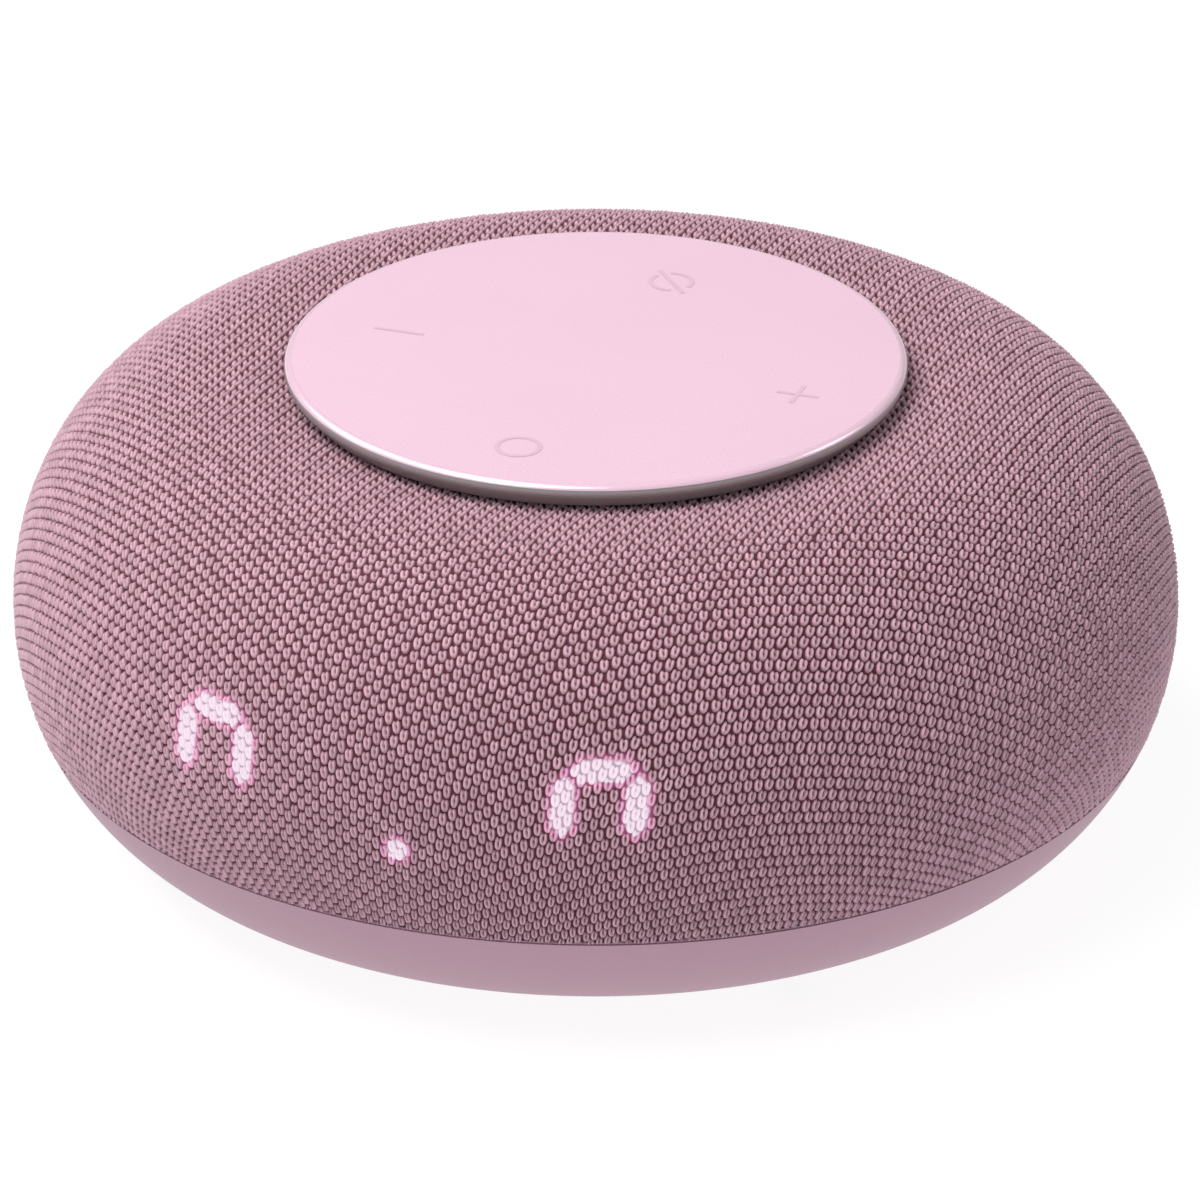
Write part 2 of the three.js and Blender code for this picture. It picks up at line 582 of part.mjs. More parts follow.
function addInlet() {
  const low = BOARD_TOP_Z + GAP;
  const backY = INLET_FACE_Y - INLET.length;
  const half = INLET.width / 2;
  const shell = boxBetween([-half, backY, low], [half, INLET_FACE_Y, low + INLET.height]);
  const mouth = boxBetween(
    [INLET.wall - half, backY + 1.5, low + INLET.wall],
    [half - INLET.wall, 80, low + INLET.height - INLET.wall],
  );
  const tongue = boxBetween([-3.3, backY + 1, low + 1.3], [3.3, INLET_FACE_Y - 0.6, low + 2]);
  add('power_inlet', join(cut(shell, [mouth]), [tongue]), STEEL);
  const stem = disc(RESET_RADIUS, 67.2, 75.8, SCREW_AROUND);
  const flange = disc(2.6, 67.8, 68.8, SCREW_AROUND);
  const button = join(stem, [flange]).rotateX(-Math.PI / 2);
  add('reset_button', button.translate(RESET_X, 0, INLET_Z), BASE_PINK);
  add('reset_switch', boxBetween([12.5, 60.5, low], [17.5, 66.3, low + 3.4]), BLACK_PLASTIC);
}

function addSmallBoards() {
  for (const [side, x] of [['left', -51], ['right', 51]]) {
    add(`microphone_board_${side}`, boxBetween([x - 4, -6, 62.3], [x + 4, 6, 63.3]), BOARD_GREEN);
  }
  for (const [side, x] of [['left', -79], ['right', 79]]) {
    add(`antenna_${side}`, boxBetween([x - 0.4, -10, 27], [x + 0.4, 10, 36]), BOARD_GREEN);
  }
  const low = BOARD_TOP_Z + GAP + 0.15;
  const route = [[24, 64.4], [34.2, 64.4], [34.2, 52], [38.5, 47], [38.5, low + 2], [40.5, low], [52, low]];
  add('touch_ribbon', ribbon(route, 0.3, 8, -8), RIBBON);
}

addBody();
addPad();
addDisplay();
addSpeaker();
addMainBoard();
addInlet();
addSmallBoards();

export default part;
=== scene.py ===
"""A donut-shaped smart speaker and clock: knitted fabric over a grille, a pale pad on top.

Metres, +Z up, the display faces -Y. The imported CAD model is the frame, and the pieces made here
stand for its fabric, pad, base, foot, inlet, button and base screws.
"""

import json
import math

import bmesh
import bpy
import numpy as np
from mathutils import Matrix, Vector


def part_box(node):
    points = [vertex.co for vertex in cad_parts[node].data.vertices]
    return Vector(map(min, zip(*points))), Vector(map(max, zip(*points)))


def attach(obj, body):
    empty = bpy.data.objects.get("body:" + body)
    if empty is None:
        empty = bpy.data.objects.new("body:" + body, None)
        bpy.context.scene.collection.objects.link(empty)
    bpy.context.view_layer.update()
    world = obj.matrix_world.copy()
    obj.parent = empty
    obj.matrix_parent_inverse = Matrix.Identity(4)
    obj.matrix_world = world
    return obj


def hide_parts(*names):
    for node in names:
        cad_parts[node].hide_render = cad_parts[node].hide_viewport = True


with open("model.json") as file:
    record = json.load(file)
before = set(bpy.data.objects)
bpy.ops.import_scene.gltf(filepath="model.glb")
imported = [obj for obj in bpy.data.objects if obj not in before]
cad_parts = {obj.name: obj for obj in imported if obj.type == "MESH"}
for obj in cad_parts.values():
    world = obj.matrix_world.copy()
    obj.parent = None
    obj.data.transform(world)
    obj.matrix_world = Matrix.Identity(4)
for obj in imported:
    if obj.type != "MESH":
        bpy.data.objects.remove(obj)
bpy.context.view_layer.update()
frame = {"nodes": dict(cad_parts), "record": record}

MM = 0.001
HOUSING = "housing"

# ---------------------------------------------------------------- sizes from the frame

SEAM_GAP = 0.3 * MM
fabric_low, fabric_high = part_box("fabric_sleeve")
pad_low, pad_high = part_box("pad_cover")
edge_low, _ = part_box("pad_edge_ring")
base_low, base_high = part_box("base_shell")
_, foot_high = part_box("rubber_foot_ring")
inlet_low, inlet_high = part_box("power_inlet")
reset_low, reset_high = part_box("reset_button")

BODY_RADIUS = fabric_high.x
SEAM_Z = fabric_low.z - SEAM_GAP
PAD_RADIUS = pad_high.x
PAD_TOP_Z = pad_high.z

# The body's section is a half ellipse below the equator, and another above it that runs out
# flatter towards the pad.
EQUATOR_Z = 34 * MM
UPPER_CENTRE = 55 * MM
UPPER_INWARD = 54 * MM
UPPER_HEIGHT = fabric_high.z - EQUATOR_Z
LOWER_CENTRE = 57 * MM
LOWER_HEIGHT = EQUATOR_Z - base_low.z
INNER_RADIUS = 41.5 * MM
SECTION_STEPS = 3000

# ---------------------------------------------------------------- meshes


def new_object(name, data, body=HOUSING):
    made = bpy.data.objects.new(name, data)
    bpy.context.scene.collection.objects.link(made)
    if body:
        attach(made, body)
    return made


def mesh_of(name, points, faces, smooth=True):
    """A mesh from an array of points and an array of faces, all with the same number of corners."""
    points = np.asarray(points, np.float32)
    faces = np.asarray(faces, np.int32)
    data = bpy.data.meshes.new(name)
    data.vertices.add(len(points))
    data.vertices.foreach_set("co", points.ravel())
    data.loops.add(faces.size)
    data.loops.foreach_set("vertex_index", faces.ravel())
    data.polygons.add(len(faces))
    data.polygons.foreach_set("loop_start", np.arange(0, faces.size, faces.shape[1], dtype=np.int32))
    data.update(calc_edges=True)
    data.validate()
    data.polygons.foreach_set("use_smooth", np.full(len(data.polygons), smooth))
    return data


def dress(piece, material):
    """Gives a piece one material in place of those it has."""
    piece.data.materials.clear()
    piece.data.materials.append(material)


def paint(data, name, values):
    """Stores one number per point, for the material to read."""
    layer = data.attributes.new(name, "FLOAT", "POINT")
    layer.data.foreach_set("value", np.asarray(values, np.float32))


def grid_faces(rows, columns, wrap=False):
    """Quads between the points of a grid, row by row. wrap joins the last column to the first."""
    row, column = np.mgrid[0 : rows - 1, 0 : columns if wrap else columns - 1]
    beside = (column + 1) % columns
    corners = [
        row * columns + column,
        row * columns + beside,
        (row + 1) * columns + beside,
        (row + 1) * columns + column,
    ]
    return np.stack([corner.ravel() for corner in corners], axis=1)


def turned(profile, around=256):
    """Points and quads of a profile of (radius, z) turned about Z. It runs anticlockwise."""
    profile = np.asarray(profile, float)
    angle = np.linspace(0, 2 * math.pi, around, endpoint=False)
    radius = profile[:, :1]
    x, y = radius * np.cos(angle), radius * np.sin(angle)
    z = np.repeat(profile[:, 1:], around, axis=1)
    return np.stack([x, y, z], axis=2).reshape(-1, 3), grid_faces(len(profile), around, wrap=True)


def held(profile, margin=0.25 * MM):
    """Adds points close to the ends of long straight runs, which keeps their shading flat."""
    result = [profile[0]]
    for start, end in zip(profile, profile[1:]):
        run = np.subtract(end, start)
        length = np.hypot(*run)
        if length > 5 * margin:
            result.append(start + run * margin / length)
            result.append(end - run * margin / length)
        result.append(end)
    return result


def lathe(name, profile, around=256):
    """A turned mesh. A profile that starts off the axis is joined to itself."""
    profile = [tuple(point) for point in profile]
    if profile[0][0] > 0:
        profile.append(profile[0])
    points, faces = turned(held(profile), around)
    data = mesh_of(name, points, faces)
    tidy = bmesh.new()
    tidy.from_mesh(data)
    bmesh.ops.remove_doubles(tidy, verts=tidy.verts, dist=1e-7)
    bmesh.ops.dissolve_degenerate(tidy, edges=tidy.edges, dist=1e-8)
    bmesh.ops.recalc_face_normals(tidy, faces=tidy.faces)
    tidy.to_mesh(data)
    tidy.free()
    data.polygons.foreach_set("use_smooth", np.full(len(data.polygons), True))
    return data


def rounded(corners, radii, steps=6):
    """An outline with its corners rounded. radii is one radius, or one for each corner."""
    corners = [np.array(corner, float) for corner in corners]
    radii = np.broadcast_to(radii, len(corners))
    outline = []
    for i, (corner, radius) in enumerate(zip(corners, radii)):
        before = corners[i - 1] - corner
        after = corners[(i + 1) % len(corners)] - corner
        if radius <= 0:
            outline.append(corner)
            continue
        before, after = before / np.hypot(*before), after / np.hypot(*after)
        half = math.acos(np.clip(before @ after, -1, 1)) / 2
        reach = radius / math.tan(half)
        middle = corner + (before + after) / np.hypot(*(before + after)) * radius / math.sin(half)
        start, end = corner + before * reach - middle, corner + after * reach - middle
        for share in np.linspace(0, 1, steps + 1):
            angle = (math.pi - 2 * half) * share
            weights = math.sin((math.pi - 2 * half) - angle), math.sin(angle)
            blended = start * weights[0] + end * weights[1]
            outline.append(middle + blended / math.sin(math.pi - 2 * half))
    return outline


def rectangle(half_x, half_y, radius, steps=6):
    """A rectangle round the origin, with its corners rounded."""
    corners = [(-half_x, -half_y), (half_x, -half_y), (half_x, half_y), (-half_x, half_y)]
    return rounded(corners, radius, steps)


def prism(name, outline, low, high, bevel=0.0):
    """An outline of (x, y) standing from low to high, with its edges bevelled."""
    shape = bmesh.new()
    face = shape.faces.new([shape.verts.new((x, y, low)) for x, y in outline])
    lifted = bmesh.ops.extrude_face_region(shape, geom=[face])["geom"]
    for vert in lifted:
        if isinstance(vert, bmesh.types.BMVert):
            vert.co.z = high
    bmesh.ops.recalc_face_normals(shape, faces=shape.faces)
    if bevel:
        sharp = [edge for edge in shape.edges if edge.calc_face_angle(0) > 0.9]
        bmesh.ops.bevel(shape, geom=sharp, offset=bevel, segments=3, affect="EDGES")
    data = bpy.data.meshes.new(name)
    shape.to_mesh(data)
    shape.free()
    return data


def lay_along_y(data, x, z, turn=math.pi / 2):
    """Turns a shape that was built along Z to lie along Y, with its axis at x and z."""
    data.transform(Matrix.Rotation(turn, 4, "X"))
    data.transform(Matrix.Translation((x, 0, z)))


def smooth_by_angle(piece):
    """Smooth shading, except over edges sharper than 35 degrees."""
    piece.data.polygons.foreach_set("use_smooth", np.full(len(piece.data.polygons), True))
    piece.data.set_sharp_from_angle(angle=math.radians(35))


def subtract(piece, cutters):
    """Cuts the other objects out of piece and deletes them."""
    for cutter in cutters:
        cut = piece.modifiers.new("cut", "BOOLEAN")
        cut.object = cutter
        cut.operation = "DIFFERENCE"
        cut.solver = "EXACT"
    evaluated = piece.evaluated_get(bpy.context.evaluated_depsgraph_get())
    data = bpy.data.meshes.new_from_object(evaluated)
    piece.modifiers.clear()
    piece.data = data
    for cutter in cutters:
        bpy.data.objects.remove(cutter)


# ---------------------------------------------------------------- the body's surface


def section_curve():
    """Radius, height and outward normal down the section, with the distance along it."""
    start = math.acos((INNER_RADIUS - UPPER_CENTRE) / UPPER_INWARD)
    end = math.asin((EQUATOR_Z - SEAM_Z) / LOWER_HEIGHT)
    angle = np.linspace(start, -end, SECTION_STEPS)
    upper = angle >= 0
    centre = np.where(upper, UPPER_CENTRE, LOWER_CENTRE)
    width = np.where(angle > math.pi / 2, UPPER_INWARD, BODY_RADIUS - centre)
    height = np.where(upper, UPPER_HEIGHT, LOWER_HEIGHT)
    radius = centre + width * np.cos(angle)
    z = EQUATOR_Z + height * np.sin(angle)
    normal = np.stack([np.cos(angle) / width, np.sin(angle) / height], axis=1)
    normal /= np.linalg.norm(normal, axis=1)[:, None]
    along = np.concatenate([[0], np.cumsum(np.hypot(np.diff(radius), np.diff(z)))])
    return along, radius, z, normal


ALONG, SECTION_RADIUS, SECTION_Z, SECTION_NORMAL = section_curve()
FABRIC_LENGTH = ALONG[-1]


def on_body(along, azimuth, rise):
    """Points on the body, by the distance down its section, the azimuth from the front towards
    +X, and the height above its surface."""
    radius = np.interp(along, ALONG, SECTION_RADIUS)
    z = np.interp(along, ALONG, SECTION_Z)
    outward = np.interp(along, ALONG, SECTION_NORMAL[:, 0])
    upward = np.interp(along, ALONG, SECTION_NORMAL[:, 1])
    radius = radius + rise * outward
    return np.stack([radius * np.sin(azimuth), -radius * np.cos(azimuth), z + rise * upward], axis=-1)


# ---------------------------------------------------------------- the clock's lit shapes

DIGIT_PLACES = [-28.3 * MM, 28.3 * MM]  # the outer digits are lit, and the inner two are dark
DIGIT_BAR_Z = EQUATOR_Z + 12.7 * MM
DIGIT_END_Z = EQUATOR_Z + 3.4 * MM
UPRIGHT_REACH = 4.8 * MM
STROKE = 3.1 * MM
CORNER_GAP = 0.45 * MM
COLON_DOT = (0.8 * MM, EQUATOR_Z - 0.7 * MM)
COLON_RADIUS = 1.65 * MM
HALO = 0.8 * MM


def lit_outlines():
    """Convex outlines in (x, z): the lit segments, pointed at both ends."""
    half = STROKE / 2
    outlines = []
    for place in DIGIT_PLACES:
        end = UPRIGHT_REACH - CORNER_GAP
        bar = [(-end, 0), (half - end, half), (end - half, half)]
        bar += [(end, 0), (end - half, -half), (half - end, -half)]
        outlines.append([(place + x, DIGIT_BAR_Z + z) for x, z in bar])
        top = DIGIT_BAR_Z - CORNER_GAP
        for side in (-1, 1):
            middle = place + side * UPRIGHT_REACH
            outlines.append([
                (middle, top),
                (middle + half, top - half),
                (middle + half, DIGIT_END_Z + half),
                (middle, DIGIT_END_Z),
                (middle - half, DIGIT_END_Z + half),
                (middle - half, top - half),
            ])
    return outlines


def outside_by(outline, x, z):
    """How far points lie outside a convex outline, negative inside."""
    corners = np.array(outline)
    ahead = np.roll(corners, -1, axis=0)
    if np.sum(corners[:, 0] * ahead[:, 1] - ahead[:, 0] * corners[:, 1]) < 0:
        corners = corners[::-1]
    furthest = np.full(np.shape(x), -np.inf)
    for start, end in zip(corners, np.roll(corners, -1, axis=0)):
        edge = (end - start) / np.hypot(*(end - start))
        furthest = np.maximum(furthest, edge[1] * (x - start[0]) - edge[0] * (z - start[1]))
    return furthest


def outside_lit(points):
    """How far points lie outside the nearest lit shape, seen from the front."""
    x, y, z = points[..., 0], points[..., 1], points[..., 2]
    nearest = np.hypot(x - COLON_DOT[0], z - COLON_DOT[1]) - COLON_RADIUS
    for outline in lit_outlines():
        nearest = np.minimum(nearest, outside_by(outline, x, z))
    return np.where(y < 0, nearest, 1.0)


# ---------------------------------------------------------------- knitted fabric

SHEET_INNER = 42.8 * MM  # radius of the fabric's hole when it lies flat, before it is stretched
COLUMN_STEP = 1.423 * MM  # between neighbouring columns of stitches, in the flat fabric
STITCH_STEP = 2.022 * MM  # between the stitches in a column
KNIT_TURN = math.radians(-3)  # of the columns from the Y axis
STITCH_TURN = KNIT_TURN + math.radians(11)  # of each stitch's own length
STITCH_HALF_WIDTH = 0.79 * MM
STITCH_HALF_LENGTH = 1.07 * MM
STITCH_ROOT = -0.75 * MM
STITCH_RISE = 0.92 * MM
BACKING_DEPTH = 0.55 * MM
NEAR_LIGHT = 2.4 * MM  # stitches this near a lit shape are in the piece that glows
SECTORS = 6
PLACE_SPREAD = 0.02 * STITCH_STEP  # how far stitches lie from an even spacing
SLIM_SPREAD = 0.1  # stitches differ this much in breadth, and by the opposite in length
LEAN_SPREAD = math.radians(18)
RISE_SPREAD = 0.16
BACKING_ROWS, BACKING_COLUMNS = 90, 256
GLOW_STEP = 0.12 * MM
GLOW_LIFT = 0.05 * MM
DIGIT_PATCH = (8.2 * MM, 7.6 * MM)
DOT_PATCH = (3 * MM, 3 * MM)


def stitch_shape(across, along):
    """A grid over one stitch: a loop of yarn, which is a rounded knob with a slit down its middle
    and a dip between two horns at its upper end. Gives the grid's places, from -1 to 1 of the
    stitch's half sizes, and its rise, 0 to 1."""
    q, p = np.meshgrid(across, along)
    taper = np.where(p > 0, 0.72, 1.0)
    width = (1 - taper * np.abs(p) ** 2.7) ** 0.5 * (0.93 + 0.07 * p)
    crown = (1 - np.abs(p) ** 2.8) ** 0.55 * (1 - np.abs(q) ** 2.8) ** 0.55
    dimple = 0.9 * np.exp(-((q / 0.29) ** 2)) * np.exp(-(((p - 0.1) / 0.55) ** 2))
    notch = 0.5 * np.exp(-((q / 0.3) ** 2)) * np.exp(-(((p - 1) / 0.3) ** 2))
    dip = 0.3 * np.exp(-((q / 0.5) ** 2)) * np.clip(p, 0, 1) ** 3
    return (q * width).ravel(), (p - dip).ravel(), (crown * (1 - dimple) * (1 - notch)).ravel()


def stitch_centres():
    """Places of the stitches in the flat fabric, in staggered columns."""
    outer = SHEET_INNER + FABRIC_LENGTH
    columns = int(outer / COLUMN_STEP) + 2
    stitches = int(outer / STITCH_STEP) + 2
    i, j = np.meshgrid(np.arange(-columns, columns + 1), np.arange(-stitches, stitches + 1))
    x = i * COLUMN_STEP
    y = (j + 0.5 * (i % 2)) * STITCH_STEP
    turned_x = x * math.cos(KNIT_TURN) - y * math.sin(KNIT_TURN)
    turned_y = x * math.sin(KNIT_TURN) + y * math.cos(KNIT_TURN)
    places = np.stack([turned_x.ravel(), turned_y.ravel()], axis=1)
    reach = np.hypot(places[:, 0], places[:, 1])
    margin = 0.4 * STITCH_STEP
    return places[(reach > SHEET_INNER - margin) & (reach < outer + margin)]


def stitches(name, places, draws, shape, columns):
    """One mesh of stitches at those places in the flat fabric, stretched over the body. draws
    holds three random numbers for each stitch: its tone, its breadth and its lean."""
    q, p, rise = shape
    breadth = SLIM_SPREAD * draws[:, 1:2]
    side = q * STITCH_HALF_WIDTH * (0.93 + breadth)
    length = p * STITCH_HALF_LENGTH * (1.03 - breadth)
    turn = STITCH_TURN + LEAN_SPREAD * (draws[:, 2:3] - 0.5)
    flat_x = side * np.cos(turn) - length * np.sin(turn)
    flat_y = side * np.sin(turn) + length * np.cos(turn)
    x = places[:, :1] + flat_x
    y = places[:, 1:] + flat_y
    down = np.hypot(x, y) - SHEET_INNER
    kept_down = np.clip(down, 0, FABRIC_LENGTH)
    height = STITCH_ROOT + STITCH_RISE * rise * (0.92 + RISE_SPREAD * draws[:, :1])
    points = on_body(kept_down, np.arctan2(x, -y), height)
    count = len(q)
    one = grid_faces(count // columns, columns)
    faces = one[None] + (np.arange(len(places)) * count)[:, None, None]
    inside = (down >= 0) & (down <= FABRIC_LENGTH)
    flat_faces = faces.reshape(-1, 4)
    keep = inside.ravel()[flat_faces].any(axis=1)
    used = np.unique(flat_faces[keep])
    order = np.full(points.shape[0] * count, -1)
    order[used] = np.arange(len(used))
    made_points = points.reshape(-1, 3)[used]
    data = mesh_of(name, made_points, order[flat_faces[keep]][:, ::-1])
    # the rise drives the painted shade and highlight on the stitches, lit and unlit
    paint(data, "rise", np.tile(rise, len(places))[used])
    paint(data, "tone", np.repeat(draws[:, 0], count)[used])
    middles = on_body(np.hypot(*places.T) - SHEET_INNER, np.arctan2(places[:, 0], -places[:, 1]), 0.0)
    return data, made_points, np.repeat(middles, count, axis=0)[used]


def paint_light(data, points, middles):
    """How brightly the clock lights each point. A stitch lights up partly as a whole."""
    outside = 0.75 * outside_lit(points) + 0.25 * outside_lit(middles)
    paint(data, "lit", np.clip(0.5 - outside / (0.3 * MM), 0, 1))
    paint(data, "halo", np.clip(1 - np.abs(outside - 0.15 * MM) / HALO, 0, 1))


def make_fabric(materials):
    across = [-1, -0.82, -0.45, 0, 0.45, 0.82, 1]
    along = [-1, -0.86, -0.45, 0.05, 0.5, 0.88, 1]
    plain = stitch_shape(across, along)
    fine_steps = np.sin(np.linspace(-1, 1, 13) * math.pi / 2)
    fine = stitch_shape(fine_steps, fine_steps)
    places = stitch_centres()
    chance = np.random.default_rng(11)
    places = places + chance.normal(0, PLACE_SPREAD, places.shape)
    draws = chance.random((len(places), 3))
    down = np.clip(np.hypot(places[:, 0], places[:, 1]) - SHEET_INNER, 0, FABRIC_LENGTH)
    azimuth = np.arctan2(places[:, 0], -places[:, 1])
    near = outside_lit(on_body(down, azimuth, 0.0)) < NEAR_LIGHT
    sector = ((azimuth / (2 * math.pi) + 0.5) * SECTORS).astype(int) % SECTORS
    for i in range(SECTORS):
        chosen = (sector == i) & ~near
        name = f"knit_sector_{i + 1}"
        data, _, _ = stitches(name, places[chosen], draws[chosen], plain, len(across))
        data.materials.append(materials["knit"])
        new_object(name, data)
    name = "knit_over_display"
    data, points, middles = stitches(name, places[near], draws[near], fine, len(fine_steps))
    paint_light(data, points, middles)
    data.materials.append(materials["knit_lit"])
    new_object(name, data)
    make_glow(materials["backing_lit"])

    # the backing under the stitches, a dark sheet whose colour is painted shade
    down = np.linspace(0, FABRIC_LENGTH, BACKING_ROWS)
    around = np.linspace(0, 2 * math.pi, BACKING_COLUMNS, endpoint=False)
    grid_down, grid_around = np.meshgrid(down, around, indexing="ij")
    points = on_body(grid_down, grid_around, -BACKING_DEPTH).reshape(-1, 3)
    data = mesh_of("knit_backing", points, grid_faces(len(down), len(around), wrap=True)[:, ::-1])
    data.materials.append(materials["backing"])
    backing = new_object("knit_backing", data)
    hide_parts("fabric_sleeve")


def make_glow(material):
    """The lit ground between the stitches: a fine patch over the backing behind each lit shape."""
    patches = [(place, (DIGIT_BAR_Z + DIGIT_END_Z) / 2, *DIGIT_PATCH) for place in DIGIT_PLACES]
    patches.append((*COLON_DOT, *DOT_PATCH))
    lower = ALONG > 0.4 * FABRIC_LENGTH  # the part of the section whose height only falls
    points, faces = [], []
    for middle_x, middle_z, half_x, half_z in patches:
        columns, rows = int(half_x / GLOW_STEP), int(half_z / GLOW_STEP)
        x = np.linspace(middle_x - half_x, middle_x + half_x, columns)
        z = np.linspace(middle_z - half_z, middle_z + half_z, rows)
        grid_z, grid_x = np.meshgrid(z, x, indexing="ij")
        down = np.interp(-grid_z.ravel(), -SECTION_Z[lower], ALONG[lower])
        radius = np.interp(down, ALONG, SECTION_RADIUS)
        azimuth = np.arcsin(grid_x.ravel() / radius)
        faces.append(grid_faces(rows, columns) + sum(len(part) for part in points))
        points.append(on_body(down, azimuth, GLOW_LIFT - BACKING_DEPTH))
    points = np.concatenate(points)
    data = mesh_of("display_glow", points, np.concatenate(faces))
    paint_light(data, points, points)
    data.materials.append(material)
    return new_object("display_glow", data)


# ---------------------------------------------------------------- pad

TRAY_RADIUS = 41 * MM
PAD_FACE_RADIUS = 43.8 * MM  # the flat face ends at a rounded edge
PAD_PINK_DEPTH = 0.6 * MM  # down the rounded edge, where the pink meets a satin metal rim
RING_INSET = 0.15 * MM  # of the grey ring's upper edge, inside the pad's
RING_LOW_RADIUS = 43.2 * MM
ICON_REACH = 30.7 * MM
ICON_SHIFT = Vector((1.1 * MM, -2.75 * MM, 0))  # the ring of icons lies a little towards the front
ICON_TURN = math.radians(-1.6)
ICON_LINE = 0.7 * MM
ICON_RISE = 0.04 * MM


def make_pad(materials):
    """The pad, pink on its face and its polished edge, and the grey ring that narrows below it."""
    outline = rounded(
        [(0, pad_low.z), (PAD_RADIUS - RING_INSET, pad_low.z), (PAD_RADIUS, pad_low.z + RING_INSET),
         (PAD_RADIUS, PAD_TOP_Z), (PAD_FACE_RADIUS, PAD_TOP_Z), (0, PAD_TOP_Z)],
        [0, 0.05 * MM, 0.05 * MM, PAD_RADIUS - PAD_FACE_RADIUS - 0.02 * MM, 0, 0],
        steps=16,
    )
    cover = new_object("pad_cover_smooth", lathe("pad_cover_smooth", outline, 384))
    cover.data.materials.append(materials["pad"])
    cover.data.materials.append(materials["pad_edge"])
    cover.data.materials.append(materials["rim"])
    for face in cover.data.polygons:
        depth = PAD_TOP_Z - face.center.z
        face.material_index = 0 if depth < 0.002 * MM else 1 if depth < PAD_PINK_DEPTH else 2
    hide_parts("pad_cover")

    inner = TRAY_RADIUS + 0.3 * MM
    top = pad_low.z + 0.05 * MM  # up to the underside of the pad
    outline = [
        (inner, edge_low.z),
        (RING_LOW_RADIUS, edge_low.z),
        (PAD_RADIUS - RING_INSET, pad_low.z - RING_INSET),
        (PAD_RADIUS - RING_INSET, top),
        (inner, top),
    ]
    outline = rounded(outline, [0.2 * MM, 0.35 * MM, 0.1 * MM, 0, 0])
    ring = new_object("pad_edge_smooth", lathe("pad_edge_smooth", outline, 384))
    ring.data.materials.append(materials["edge"])
    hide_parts("pad_edge_ring")
    make_icons(materials["icon"])


def stroke(path):
    """A flat line of even width along points in the plane: its points and faces."""
    path = np.array(path, float)
    ahead = np.gradient(path, axis=0)
    ahead /= np.linalg.norm(ahead, axis=1)[:, None]
    aside = np.stack([-ahead[:, 1], ahead[:, 0]], axis=1) * ICON_LINE / 2
    points = np.concatenate([path + aside, path - aside])
    return np.hstack([points, np.zeros((len(points), 1))]), grid_faces(2, len(path))


def arc(radius, start, end, steps=40):
    turns = np.radians(np.linspace(start, end, steps))
    return [(radius * math.cos(turn), radius * math.sin(turn)) for turn in turns]


def make_icons(material):
    """The touch icons, printed on the pad: a circle, a plus, a circle with a slash and a minus."""
    radius, reach, slash, half_minus = 3.05 * MM, 3.1 * MM, 4.5 * MM, 3.8 * MM
    beside = ICON_LINE / 2
    lean = math.radians(41.5)
    slope = (-slash * math.sin(lean), slash * math.cos(lean))
    upper, lower = [(0, beside), (0, reach)], [(0, -beside), (0, -reach)]
    icons = {
        "icon_circle": (-90, [arc(radius, 0, 360, 80)]),
        "icon_plus": (0, [[(-reach, 0), (reach, 0)], upper, lower]),
        "icon_mute": (90, [
            [slope, (-slope[0], -slope[1])],
            arc(radius, -20, 112),
            arc(radius, 151, 287),
        ]),
        "icon_minus": (180, [[(-half_minus, 0), (half_minus, 0)]]),
    }
    for name, (place, lines) in icons.items():
        points, faces = np.empty((0, 3)), []
        for line in lines:
            line_points, line_faces = stroke(line)
            faces.append(line_faces + len(points))
            points = np.concatenate([points, line_points])
        turn = math.radians(place) + ICON_TURN
        spot = Vector((ICON_REACH * math.cos(turn), ICON_REACH * math.sin(turn), PAD_TOP_Z + ICON_RISE))
        data = mesh_of(name, points + np.array(spot + ICON_SHIFT), np.concatenate(faces)[:, ::-1])
        data.materials.append(material)
        new_object(name, data)


# ---------------------------------------------------------------- base

BASE_WALL = 2.4 * MM
LIP_OUTER = 79 * MM
LIP_INNER = 77 * MM
FLOOR_Z = base_low.z + BASE_WALL
PILLAR_REACH = 65 * MM
QUARTERS = [math.radians(turn) for turn in (45, 135, 225, 315)]
FOOT_INNER = 50 * MM
FOOT_OUTER = foot_high.x
INLET_Z = 11.9 * MM
RECESS_HALF = (7 * MM, 4 * MM)
RECESS_BACK_Y = 68.3 * MM
RESET_X = 15 * MM
RESET_RADIUS = 1.5 * MM
BASE_SCREW_Z = 4.5 * MM
COUNTERBORE = (3.3 * MM, 6.2 * MM)  # radius and depth of the screw holes
PLAY = 0.3 * MM  # the gap round a fitted part
RECESS_CORNER = 1.6 * MM


def base_curve(depth, top_z, steps):
    """The base's section at a depth below its outside, from the bottom up to the height top_z."""
    top = math.asin((EQUATOR_Z - top_z) / (LOWER_HEIGHT - depth))
    points = []
    for angle in np.linspace(math.pi / 2, top, steps):
        radius = LOWER_CENTRE + (BODY_RADIUS - LOWER_CENTRE - depth) * math.cos(angle)
        points.append((radius, EQUATOR_Z - (LOWER_HEIGHT - depth) * math.sin(angle)))
    return points


def cutter(name, data):
    return new_object(name, data, body=None)


def upright_cylinder(name, radius, low, high, x=0.0, y=0.0, around=48):
    data = lathe(name, [(0, low), (radius, low), (radius, high), (0, high)], around)
    data.transform(Matrix.Translation((x, y, 0)))
    return data


